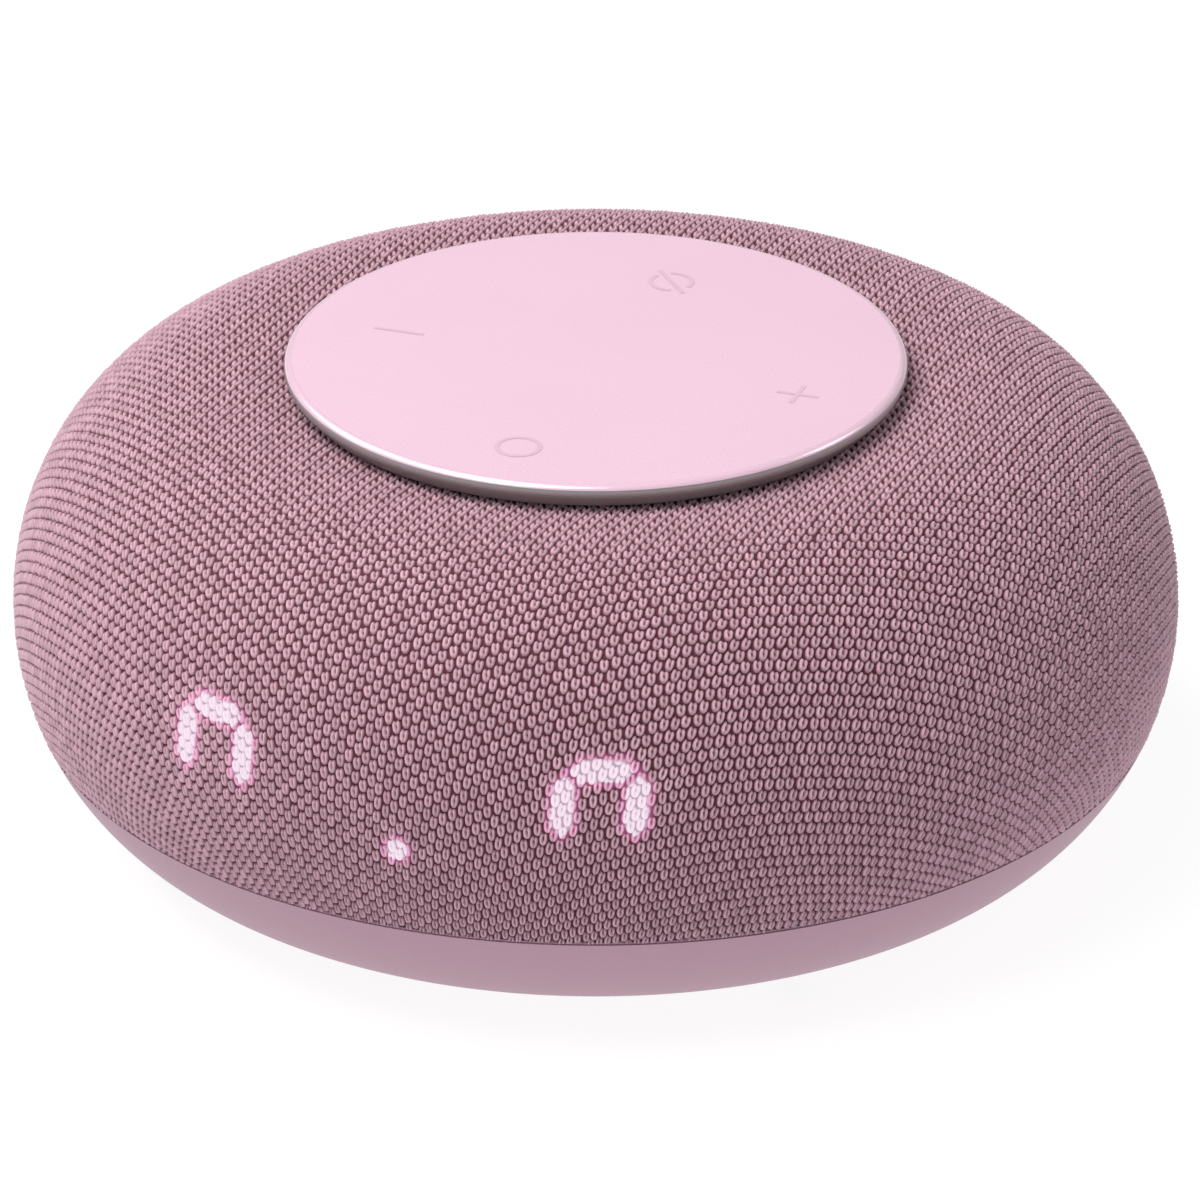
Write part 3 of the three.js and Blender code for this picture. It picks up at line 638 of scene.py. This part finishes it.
def make_base(materials):
    edge = rounded([(76 * MM, SEAM_Z - 4 * MM), (base_curve(0, SEAM_Z, 2)[-1][0], SEAM_Z),
                    (LIP_OUTER, SEAM_Z)], [0, 0.15 * MM, 0])[1:]
    outer = base_curve(0, SEAM_Z - 0.3 * MM, 40)
    lip_top = base_high.z
    lip = rounded([(LIP_OUTER, SEAM_Z), (LIP_OUTER, lip_top), (LIP_INNER, lip_top), (LIP_INNER, SEAM_Z)],
                  [0, 0.3 * MM, 0.3 * MM, 0])
    inner = [(min(r, LIP_INNER), z) for r, z in base_curve(BASE_WALL, SEAM_Z - 2 * MM, 24)]
    profile = [(0, base_low.z), *outer, *edge[:-1], *lip, *inner[::-1], (0, FLOOR_Z)]
    shell = new_object("base_smooth", lathe("base_smooth", profile, 256))
    cutters = []
    for i, turn in enumerate(QUARTERS):
        x, y = PILLAR_REACH * math.cos(turn), PILLAR_REACH * math.sin(turn)
        name = f"screw_hole_{i}"
        cutters.append(cutter(name, upright_cylinder(name, COUNTERBORE[0], -MM, COUNTERBORE[1], x, y)))
    inner_wall, outer_wall, roof = FOOT_INNER - PLAY, FOOT_OUTER + PLAY, foot_high.z + PLAY
    groove = [(inner_wall, -MM), (outer_wall, -MM), (outer_wall, roof), (inner_wall, roof)]
    cutters.append(cutter("foot_groove", lathe("foot_groove", groove, 256)))
    mouth = prism("recess", rectangle(*RECESS_HALF, RECESS_CORNER), -90 * MM, -RECESS_BACK_Y)
    lay_along_y(mouth, 0, INLET_Z)
    cutters.append(cutter("recess", mouth))
    hole = upright_cylinder("reset_hole", RESET_RADIUS + PLAY, 60 * MM, 90 * MM)
    lay_along_y(hole, RESET_X, INLET_Z, -math.pi / 2)
    cutters.append(cutter("reset_hole", hole))
    subtract(shell, cutters)
    smooth_by_angle(shell)
    soft_edges = shell.modifiers.new("soft_edges", "BEVEL")
    soft_edges.width = 0.18 * MM
    soft_edges.segments = 2
    soft_edges.limit_method = "ANGLE"
    soft_edges.angle_limit = math.radians(50)
    dress(shell, materials["base"])
    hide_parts("base_shell")
    make_recess(materials)
    make_foot(materials["rubber"])


def make_recess(materials):
    """The recess's lining and its back wall, with a slot that the inlet looks through."""
    half_x, half_z = RECESS_HALF
    wall = 1.5 * MM
    outer = rectangle(half_x + wall, half_z + wall, 3 * MM)
    lining_data = prism("recess_lining", outer, -73 * MM, 1.8 * MM - RECESS_BACK_Y)
    lining = new_object("recess_lining", lining_data)
    inner = rectangle(half_x, half_z, RECESS_CORNER)
    mouth = cutter("lining_mouth", prism("lining_mouth", inner, -90 * MM, -RECESS_BACK_Y))
    inlet_middle = (inlet_low.z + inlet_high.z) / 2 - INLET_Z
    slot_half = (inlet_high.x + PLAY, (inlet_high.z - inlet_low.z) / 2 + PLAY)
    slot_outline = [(x, z - inlet_middle) for x, z in rectangle(*slot_half, 1.85 * MM)]
    slot = cutter("lining_slot", prism("lining_slot", slot_outline, -80 * MM, -60 * MM))
    subtract(lining, [mouth, slot])
    lay_along_y(lining.data, 0, INLET_Z)
    smooth_by_angle(lining)
    dress(lining, materials["base"])


def make_foot(material):
    outline = [(FOOT_INNER, 0), (FOOT_OUTER, 0), (FOOT_OUTER, foot_high.z), (FOOT_INNER, foot_high.z)]
    ring = new_object("foot_smooth", lathe("foot_smooth", rounded(outline, 0.4 * MM), 256))
    ring.data.materials.append(material)
    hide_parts("rubber_foot_ring")


def make_inlet(materials):
    """A drawn steel shell with a tongue of contacts."""
    middle = (inlet_low.z + inlet_high.z) / 2
    half_x, half_z = inlet_high.x, (inlet_high.z - inlet_low.z) / 2

    sheet = 0.35 * MM
    outer = rectangle(half_x, half_z, 1.6 * MM, steps=10)
    inner = rectangle(half_x - sheet, half_z - sheet, 1.28 * MM, steps=10)
    shell = new_object("inlet_shell", prism("inlet_shell", outer, -inlet_high.y, -inlet_low.y))
    mouth_data = prism("inlet_mouth", inner, -90 * MM, -inlet_low.y - 1.5 * MM)
    subtract(shell, [cutter("inlet_mouth", mouth_data)])
    tongue_outline = rectangle(3.3 * MM, 0.35 * MM, 0.15 * MM)
    tongue_ends = 0.7 * MM - inlet_high.y, -inlet_low.y - MM
    tongue_data = prism("inlet_tongue", tongue_outline, *tongue_ends, bevel=0.08 * MM)
    tongue = new_object("inlet_tongue", tongue_data)
    contacts = bmesh.new()
    for i in range(12):
        for side in (-1, 1):
            x = (i - 5.5) * 0.5 * MM
            low = (x - 0.13 * MM, side * 0.36 * MM - 0.03 * MM, 1.4 * MM - inlet_high.y)
            high = (x + 0.13 * MM, side * 0.36 * MM + 0.03 * MM, -inlet_low.y - 2 * MM)
            made = bmesh.ops.create_cube(contacts, size=1)["verts"]
            middle_point = (Vector(low) + Vector(high)) / 2
            size = Vector(high) - Vector(low)
            for vert in made:
                vert.co = middle_point + Vector(a * b for a, b in zip(vert.co, size))
    contact_data = bpy.data.meshes.new("inlet_contacts")
    contacts.to_mesh(contact_data)
    contacts.free()
    contact = new_object("inlet_contacts", contact_data)
    for piece, finish in ((shell, "steel"), (tongue, "black"), (contact, "gold")):
        lay_along_y(piece.data, 0, middle)
        smooth_by_angle(piece)
        dress(piece, materials[finish])
    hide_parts("power_inlet")


def make_reset(material):
    """A short plunger with a dished end, on the button's own body."""
    back, front, flange = reset_low.y, reset_high.y, 2.6 * MM
    flange_low, flange_high = back + 0.6 * MM, back + 1.6 * MM
    profile = rounded(
        [(0, back), (RESET_RADIUS, back), (RESET_RADIUS, flange_low), (flange, flange_low),
         (flange, flange_high), (RESET_RADIUS, flange_high), (RESET_RADIUS, front),
         (0.9 * MM, front), (0, front - 0.16 * MM)],
        [0, 0.1 * MM, 0.1 * MM, 0.2 * MM, 0.2 * MM, 0.1 * MM, 0.35 * MM, 0.5 * MM, 0],
    )
    data = lathe("reset_plunger", profile, 48)
    lay_along_y(data, RESET_X, INLET_Z, -math.pi / 2)
    data.materials.append(material)
    plunger = new_object("reset_plunger", data, body=None)
    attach(plunger, "reset_button_body")
    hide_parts("reset_button")


def make_base_screws(material):
    """Screws with a domed head, a cross slot and a coarse thread."""
    head, height, shank = 2.9 * MM, 1.4 * MM, 1.2 * MM
    pitch, crest = 0.42 * MM, 0.22 * MM
    root = crest * -0.2
    for i, turn in enumerate(QUARTERS):
        name = f"base_screw_smooth_{i + 1}"
        top = BASE_SCREW_Z + height
        profile = rounded(
            [(0, BASE_SCREW_Z), (head * 0.9, BASE_SCREW_Z), (head, BASE_SCREW_Z + 0.6 * MM), (head, top),
             (shank, top), (shank, top + 0.3 * MM)],
            [0, 0.5 * MM, 0.3 * MM, 0.1 * MM, 0.05 * MM, 0],
        )
        for step in range(24):
            profile.append((shank + (crest if step % 2 else root), top + (step + 0.5) * pitch))
        profile += [(shank, top + 10.2 * MM), (0, top + 11 * MM)]
        screw = new_object(name, lathe(name, profile, 40))
        arms = []
        for cross in (0, math.pi / 2):
            arm = rectangle(1.7 * MM, 0.3 * MM, 0.12 * MM)
            deep = BASE_SCREW_Z + 0.9 * MM
            blade = prism(f"{name}_slot_{cross:.0f}", arm, BASE_SCREW_Z - MM, deep)
            blade.transform(Matrix.Rotation(cross + 0.4 * i, 4, "Z"))
            arms.append(cutter(f"{name}_arm_{cross:.0f}", blade))
        subtract(screw, arms)
        place = (PILLAR_REACH * math.cos(turn), PILLAR_REACH * math.sin(turn), 0)
        screw.data.transform(Matrix.Translation(place))
        smooth_by_angle(screw)
        dress(screw, material)
        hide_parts(f"base_screw_{i + 1}")


# ---------------------------------------------------------------- materials


class Nodes:
    """A material's nodes, with a few shortcuts."""

    def __init__(self, name, colour, roughness, metallic=0.0, **sockets):
        self.material = bpy.data.materials.new(name)
        self.material.use_nodes = True
        self.tree = self.material.node_tree
        self.shader = self.tree.nodes["Principled BSDF"]
        self.shader.inputs["Base Color"].default_value = (*colour, 1)
        self.shader.inputs["Roughness"].default_value = roughness
        self.shader.inputs["Metallic"].default_value = metallic
        for socket, value in sockets.items():
            self.shader.inputs[socket.replace("_", " ")].default_value = value
        self.place = None

    def add(self, kind, **inputs):
        node = self.tree.nodes.new(kind)
        for socket, value in inputs.items():
            self.feed(node.inputs[socket.replace("_", " ")], value)
        return node

    def feed(self, socket, value):
        if isinstance(value, bpy.types.NodeSocket):
            self.tree.links.new(value, socket)
        else:
            socket.default_value = value

    def here(self):
        if self.place is None:
            self.place = self.add("ShaderNodeTexCoord").outputs["Object"]
        return self.place

    def attribute(self, name):
        node = self.add("ShaderNodeAttribute")
        node.attribute_name = name
        return node.outputs["Fac"]

    def math(self, operation, first, second=0.0):
        node = self.add("ShaderNodeMath")
        node.operation = operation
        self.feed(node.inputs[0], first)
        self.feed(node.inputs[1], second)
        return node.outputs[0]

    def noise(self, scale, detail=3.0, stretch=None):
        place = self.here()
        if stretch:
            mapping = self.add("ShaderNodeMapping", Vector=place)
            mapping.inputs["Scale"].default_value = stretch
            place = mapping.outputs["Vector"]
        return self.add("ShaderNodeTexNoise", Vector=place, Scale=scale, Detail=detail).outputs["Fac"]

    def blend(self, share, first, second):
        node = self.add("ShaderNodeMix")
        node.data_type = "RGBA"
        self.feed(node.inputs["Factor"], share)
        self.feed(node.inputs[6], (*first, 1) if isinstance(first, tuple) else first)
        self.feed(node.inputs[7], (*second, 1) if isinstance(second, tuple) else second)
        return node.outputs[2]

    def spread(self, value, low, high, first, last):
        ends = {"From_Min": low, "From_Max": high, "To_Min": first, "To_Max": last}
        return self.add("ShaderNodeMapRange", Value=value, **ends).outputs["Result"]

    def bump(self, height, distance):
        node = self.add("ShaderNodeBump", Height=height, Distance=distance, Strength=1.0)
        self.tree.links.new(node.outputs["Normal"], self.shader.inputs["Normal"])

    def set(self, socket, value):
        self.feed(self.shader.inputs[socket], value)


def scaled(colour, factor):
    return tuple(min(1.0, channel * factor) for channel in colour)


def moulded(name, colour, roughness, grain=0.35 * MM, depth=0.012 * MM, **sockets):
    """Moulded plastic: a fine eroded grain, with slight cloudiness in colour and gloss."""
    nodes = Nodes(name, colour, roughness, **sockets)
    cloud = nodes.noise(35.0, 2.0)
    fine = nodes.noise(1 / grain, 2.0)
    nodes.set("Base Color", nodes.blend(cloud, scaled(colour, 0.97), scaled(colour, 1.03)))
    nodes.set("Roughness", nodes.spread(fine, 0.3, 0.7, roughness - 0.05, roughness + 0.05))
    nodes.bump(fine, depth)
    return nodes.material


def metal(name, colour, roughness, stretch=(1, 1, 30)):
    """Rolled or brushed metal: streaks along one axis."""
    nodes = Nodes(name, colour, roughness, 1.0)
    streak = nodes.noise(900.0, 3.0, stretch)
    nodes.set("Base Color", nodes.blend(streak, scaled(colour, 0.9), scaled(colour, 1.06)))
    nodes.set("Roughness", nodes.spread(streak, 0.3, 0.7, roughness - 0.08, roughness + 0.1))
    nodes.bump(streak, 0.004 * MM)
    return nodes.material


KNIT_PINK = (0.67, 0.422, 0.515)
# painted shade: the colour the stitches darken to at their roots, slits and the gaps between them, and
# the backing's colour
KNIT_PAINTED_SHADE = (0.095, 0.019, 0.034)
LIT_WHITE = (1.0, 0.86, 0.98)
LIT_CLEFT_SHADE = (0.66, 0.52, 0.66)  # painted shade: the dimmer glow between the legs of a lit stitch
LIT_BACKING = (0.6, 0.5, 0.6)
UNDER_LIGHT = (0.03, 0.02, 0.03)  # a lit stitch's own colour, which its light hides
HALO_PINK = (0.86, 0.2, 0.56)


def knit_material(name, lit):
    nodes = Nodes(name, KNIT_PINK, 0.62)
    nodes.set("Sheen Weight", 0.25)
    nodes.set("Sheen Roughness", 0.4)
    nodes.set("Specular IOR Level", 0.35)
    rise = nodes.attribute("rise")
    tone = nodes.attribute("tone")
    # Painted shade and highlight: by its rise, a stitch darkens towards its roots, its slit and the gaps
    # beside it, and is lightest on its crest.
    painted_shading = nodes.spread(rise, 0.12, 1.0, 0.0, 1.0)
    fibre = nodes.noise(5200.0, 2.0)
    light = nodes.blend(tone, scaled(KNIT_PINK, 0.88), scaled(KNIT_PINK, 1.12))
    colour = nodes.blend(painted_shading, KNIT_PAINTED_SHADE, light)
    nodes.set("Roughness", nodes.spread(fibre, 0.3, 0.7, 0.55, 0.72))
    nodes.bump(fibre, 0.03 * MM)
    if lit:
        glow = nodes.attribute("lit")
        halo = nodes.attribute("halo")
        # Painted shade in the glow: a lit stitch's cleft glows dimmer than its legs, and the halo dims
        # towards the stitches' roots.
        cleft_shade = nodes.spread(rise, 0.25, 0.8, 0.62, 1.0)
        white = nodes.blend(cleft_shade, LIT_CLEFT_SHADE, LIT_WHITE)
        around = nodes.math("MULTIPLY", halo, nodes.spread(rise, 0.2, 0.9, 0.35, 1.0))
        nodes.set("Emission Color", nodes.blend(glow, HALO_PINK, white))
        core = nodes.math("MULTIPLY", glow, 0.78)
        nodes.set("Emission Strength", nodes.math("MAXIMUM", core, nodes.math("MULTIPLY", around, 0.45)))
        colour = nodes.blend(nodes.math("MULTIPLY", glow, 0.75), colour, UNDER_LIGHT)
    nodes.set("Base Color", colour)
    return nodes.material


def backing_material(name, lit):
    # painted shade: the backing is a dark sheet, coloured as the shade seen between the stitches
    nodes = Nodes(name, KNIT_PAINTED_SHADE, 0.85)
    weave = nodes.noise(2200.0, 2.0)
    colour = nodes.blend(weave, scaled(KNIT_PAINTED_SHADE, 0.7), scaled(KNIT_PAINTED_SHADE, 1.3))
    nodes.bump(weave, 0.05 * MM)
    if lit:
        glow = nodes.attribute("lit")
        nodes.set("Emission Color", nodes.blend(glow, HALO_PINK, LIT_BACKING))
        core = nodes.math("MULTIPLY", glow, 0.7)
        halo = nodes.math("MULTIPLY", nodes.attribute("halo"), 0.3)
        nodes.set("Emission Strength", nodes.math("MAXIMUM", core, halo))
    nodes.set("Base Color", colour)
    return nodes.material


def board_material():
    """Solder mask with darker copper tracks under it and rows of tinned pads."""
    green = (0.015, 0.12, 0.05)
    nodes = Nodes("board_mask", green, 0.35)
    tracks = nodes.add("ShaderNodeTexVoronoi", Vector=nodes.here(), Scale=420.0)
    tracks.distance = "MANHATTAN"
    line = nodes.spread(tracks.outputs["Distance"], 0.42, 0.5, 0.0, 1.0)
    base = nodes.blend(line, green, scaled(green, 1.9))
    pads = nodes.add("ShaderNodeTexVoronoi", Vector=nodes.here(), Scale=260.0)
    dot = nodes.spread(pads.outputs["Distance"], 0.1, 0.13, 1.0, 0.0)
    nodes.set("Base Color", nodes.blend(dot, base, (0.7, 0.68, 0.6)))
    nodes.set("Roughness", nodes.spread(dot, 0.0, 1.0, 0.4, 0.25))
    nodes.bump(line, 0.02 * MM)
    return nodes.material


def wound_material():
    """Turns of enamelled wire round the vertical axis, with painted shade: the copper darkens into the
    grooves between the turns.
    """
    copper = (0.75, 0.33, 0.14)
    nodes = Nodes("wound_copper", copper, 0.3, 1.0)
    turns = nodes.add("ShaderNodeTexWave", Vector=nodes.here(), Scale=420.0)
    turns.wave_type = "RINGS"
    turns.rings_direction = "Z"
    # painted shade: darker where the bump dips between the turns
    nodes.set("Base Color", nodes.blend(turns.outputs["Fac"], scaled(copper, 0.35), copper))
    nodes.bump(turns.outputs["Fac"], 0.15 * MM)
    return nodes.material


def banded(name, colour, dark, roughness, scale, axis):
    """Straight bands of two colours, as tracks on a ribbon or the threads of a stiff cloth."""
    nodes = Nodes(name, colour, roughness)
    bands = nodes.add("ShaderNodeTexWave", Vector=nodes.here(), Scale=scale, Distortion=0.2)
    bands.bands_direction = axis
    # On the ribbon the two colours are its tracks and film; on the spider cloth the darker bands lie in
    # the dips of the bump and are painted shade between the threads.
    nodes.set("Base Color", nodes.blend(bands.outputs["Fac"], dark, colour))
    nodes.bump(bands.outputs["Fac"], 0.05 * MM)
    return nodes.material


def speckled(name, colour, roughness, scale=1600.0, depth=0.03 * MM, shift=0.3):
    """A matt body with a speckle, as rubber, ferrite, paper pulp and filled silicone have."""
    nodes = Nodes(name, colour, roughness)
    grain = nodes.noise(scale, 4.0)
    nodes.set("Base Color", nodes.blend(grain, scaled(colour, 1 - shift), scaled(colour, 1 + shift)))
    nodes.set("Roughness", nodes.spread(grain, 0.3, 0.7, roughness - 0.08, roughness + 0.08))
    nodes.bump(grain, depth)
    return nodes.material


PAD_PINK = (0.71, 0.485, 0.605)


def make_materials():
    return {
        "knit": knit_material("knit_pink", False),
        "knit_lit": knit_material("knit_pink_lit", True),
        "backing": backing_material("knit_backing", False),
        "backing_lit": backing_material("knit_backing_lit", True),
        "pad": moulded("pad_pink", PAD_PINK, 0.3, 0.25 * MM, 0.002 * MM, Coat_Weight=0.5,
                       Coat_Roughness=0.15),
        "pad_edge": moulded("pad_polished_edge", PAD_PINK, 0.22, 0.25 * MM, 0.001 * MM,
                            Coat_Weight=1.0, Coat_Roughness=0.16, Coat_IOR=2.1),
        "rim": moulded("satin_rim", (0.37, 0.345, 0.35), 0.34, 0.3 * MM, 0.001 * MM, metallic=0.7),
        "icon": moulded("icon_print", (0.61, 0.41, 0.515), 0.4),
        "edge": moulded("edge_grey", (0.24, 0.21, 0.215), 0.32, 0.3 * MM, 0.002 * MM),
        "base": moulded("base_pink", (0.385, 0.223, 0.29), 0.48, 0.3 * MM, 0.006 * MM),
        "black": moulded("black_plastic", (0.028, 0.027, 0.029), 0.5),
        "white": moulded("white_plastic", (0.86, 0.85, 0.86), 0.45),
        "rubber": speckled("foot_rubber", (0.045, 0.04, 0.043), 0.8),
        "rubber_black": speckled("black_rubber", (0.018, 0.018, 0.02), 0.7),
        "steel": metal("plated_steel", (0.6, 0.61, 0.63), 0.3),
        "shield": metal("tinned_sheet", (0.68, 0.69, 0.7), 0.35, (1, 25, 1)),
        "aluminium": metal("rolled_aluminium", (0.75, 0.76, 0.78), 0.35, (25, 1, 1)),
        "gold": metal("gold_plate", (0.85, 0.62, 0.25), 0.25),
        "board": board_material(),
        "copper": wound_material(),
        "ferrite": speckled("ferrite", (0.04, 0.04, 0.045), 0.55, 2600.0),
        "cone": speckled("pulp_cone", (0.045, 0.045, 0.05), 0.85, 1400.0, 0.08 * MM),
        "spider": banded("spider_cloth", (0.6, 0.4, 0.2), (0.35, 0.2, 0.08), 0.9, 900.0, "DIAGONAL"),
        "thermal": speckled("thermal_pad", (0.5, 0.58, 0.68), 0.75, 3000.0, 0.02 * MM, 0.12),
        "ribbon": banded("ribbon_film", (0.62, 0.3, 0.07), (0.3, 0.11, 0.02), 0.35, 330.0, "X"),
    }


SLOT_FINISH = {
    "fabric_pink": "knit", "base_pink": "base", "pad_pink": "pad", "ring_grey": "edge",
    "black_plastic": "black", "white_plastic": "white", "rubber_grey": "rubber",
    "rubber_black": "rubber_black", "screw_steel": "steel", "plate_steel": "steel",
    "shield_tin": "shield", "board_green": "board", "coil_copper": "copper",
    "ferrite_dark": "ferrite", "spreader_aluminium": "aluminium", "radiator_aluminium": "aluminium",
    "cone_paper": "cone", "spider_cloth": "spider", "pad_thermal": "thermal",
    "ribbon_polyimide": "ribbon", "inlet_steel": "steel",
}


def dress_frame(materials):
    """Gives every CAD node the finish of its material slot."""
    for part in frame["record"]["subparts"]:
        dress(frame["nodes"][part["node"]], materials[SLOT_FINISH[part["material_slot"]]])


# ---------------------------------------------------------------- camera, light and floor

VIEW_AZIMUTH = math.radians(19.4)
VIEW_HEIGHT = math.radians(26.05)
VIEW_DISTANCE = 14 * BODY_RADIUS
LENS = 244.1
SHIFT = (0.0035, -0.0088)
FLOOR_HALF = 6.0


def direction(azimuth, height):
    """Away from the object, at an azimuth from the front towards +X and a height above the horizon."""
    return Vector((
        math.cos(height) * math.sin(azimuth),
        -math.cos(height) * math.cos(azimuth),
        math.sin(height),
    ))


def make_camera():
    data = bpy.data.cameras.new("camera")
    data.lens = LENS
    data.sensor_width = 36
    data.shift_x, data.shift_y = SHIFT
    camera = new_object("camera", data, body=None)
    back = direction(VIEW_AZIMUTH, VIEW_HEIGHT)
    camera.location = Vector((0, 0, EQUATOR_Z)) + back * VIEW_DISTANCE
    camera.rotation_euler = (-back).to_track_quat("-Z", "Y").to_euler()
    bpy.context.scene.camera = camera


def softbox(name, azimuth, height, distance, size, power, colour=(1, 1, 1), mirrored=True):
    """A rectangular light aimed at the object. azimuth is from the camera's, and mirrored says
    whether polished surfaces show it."""
    data = bpy.data.lights.new(name, "AREA")
    data.shape = "RECTANGLE"
    data.size, data.size_y = size
    data.energy = power
    data.color = colour
    lamp = new_object(name, data, body=None)
    lamp.visible_glossy = mirrored
    away = direction(VIEW_AZIMUTH + math.radians(azimuth), math.radians(height))
    lamp.location = Vector((0, 0, EQUATOR_Z)) + away * distance
    lamp.rotation_euler = (-away).to_track_quat("-Z", "Y").to_euler()


def make_studio():
    world = bpy.data.worlds.new("studio")
    bpy.context.scene.world = world
    world.use_nodes = True
    background = world.node_tree.nodes["Background"]
    background.inputs["Color"].default_value = (1, 0.985, 0.99, 1)
    background.inputs["Strength"].default_value = 0.38
    softbox("key", -66, 64, 0.9, (0.75, 0.62), 8.3, (1, 0.965, 0.94))
    softbox("back_left", -120, 42, 1.3, (0.9, 0.7), 3.8)
    softbox("back_right", 105, 38, 1.3, (0.5, 0.42), 1.9)
    softbox("fill", 0, 22, 1.6, (1.0, 0.8), 4.4, (0.97, 0.98, 1), mirrored=False)
    corners = [(-FLOOR_HALF, -FLOOR_HALF, 0), (FLOOR_HALF, -FLOOR_HALF, 0)]
    corners += [(FLOOR_HALF, FLOOR_HALF, 0), (-FLOOR_HALF, FLOOR_HALF, 0)]
    floor = mesh_of("floor", corners, [(0, 1, 2, 3)])
    nodes = Nodes("floor_white", (0.15, 0.15, 0.15), 0.9)
    nodes.set("Emission Color", (1, 1, 1, 1))
    nodes.set("Emission Strength", 0.88)
    floor.materials.append(nodes.material)
    new_object("floor", floor, body=None)
    bpy.context.scene.view_settings.view_transform = "Standard"


make_camera()
finishes = make_materials()
dress_frame(finishes)
make_fabric(finishes)
make_pad(finishes)
make_base(finishes)
make_inlet(finishes)
make_reset(finishes["base"])
make_base_screws(finishes["steel"])
make_studio()
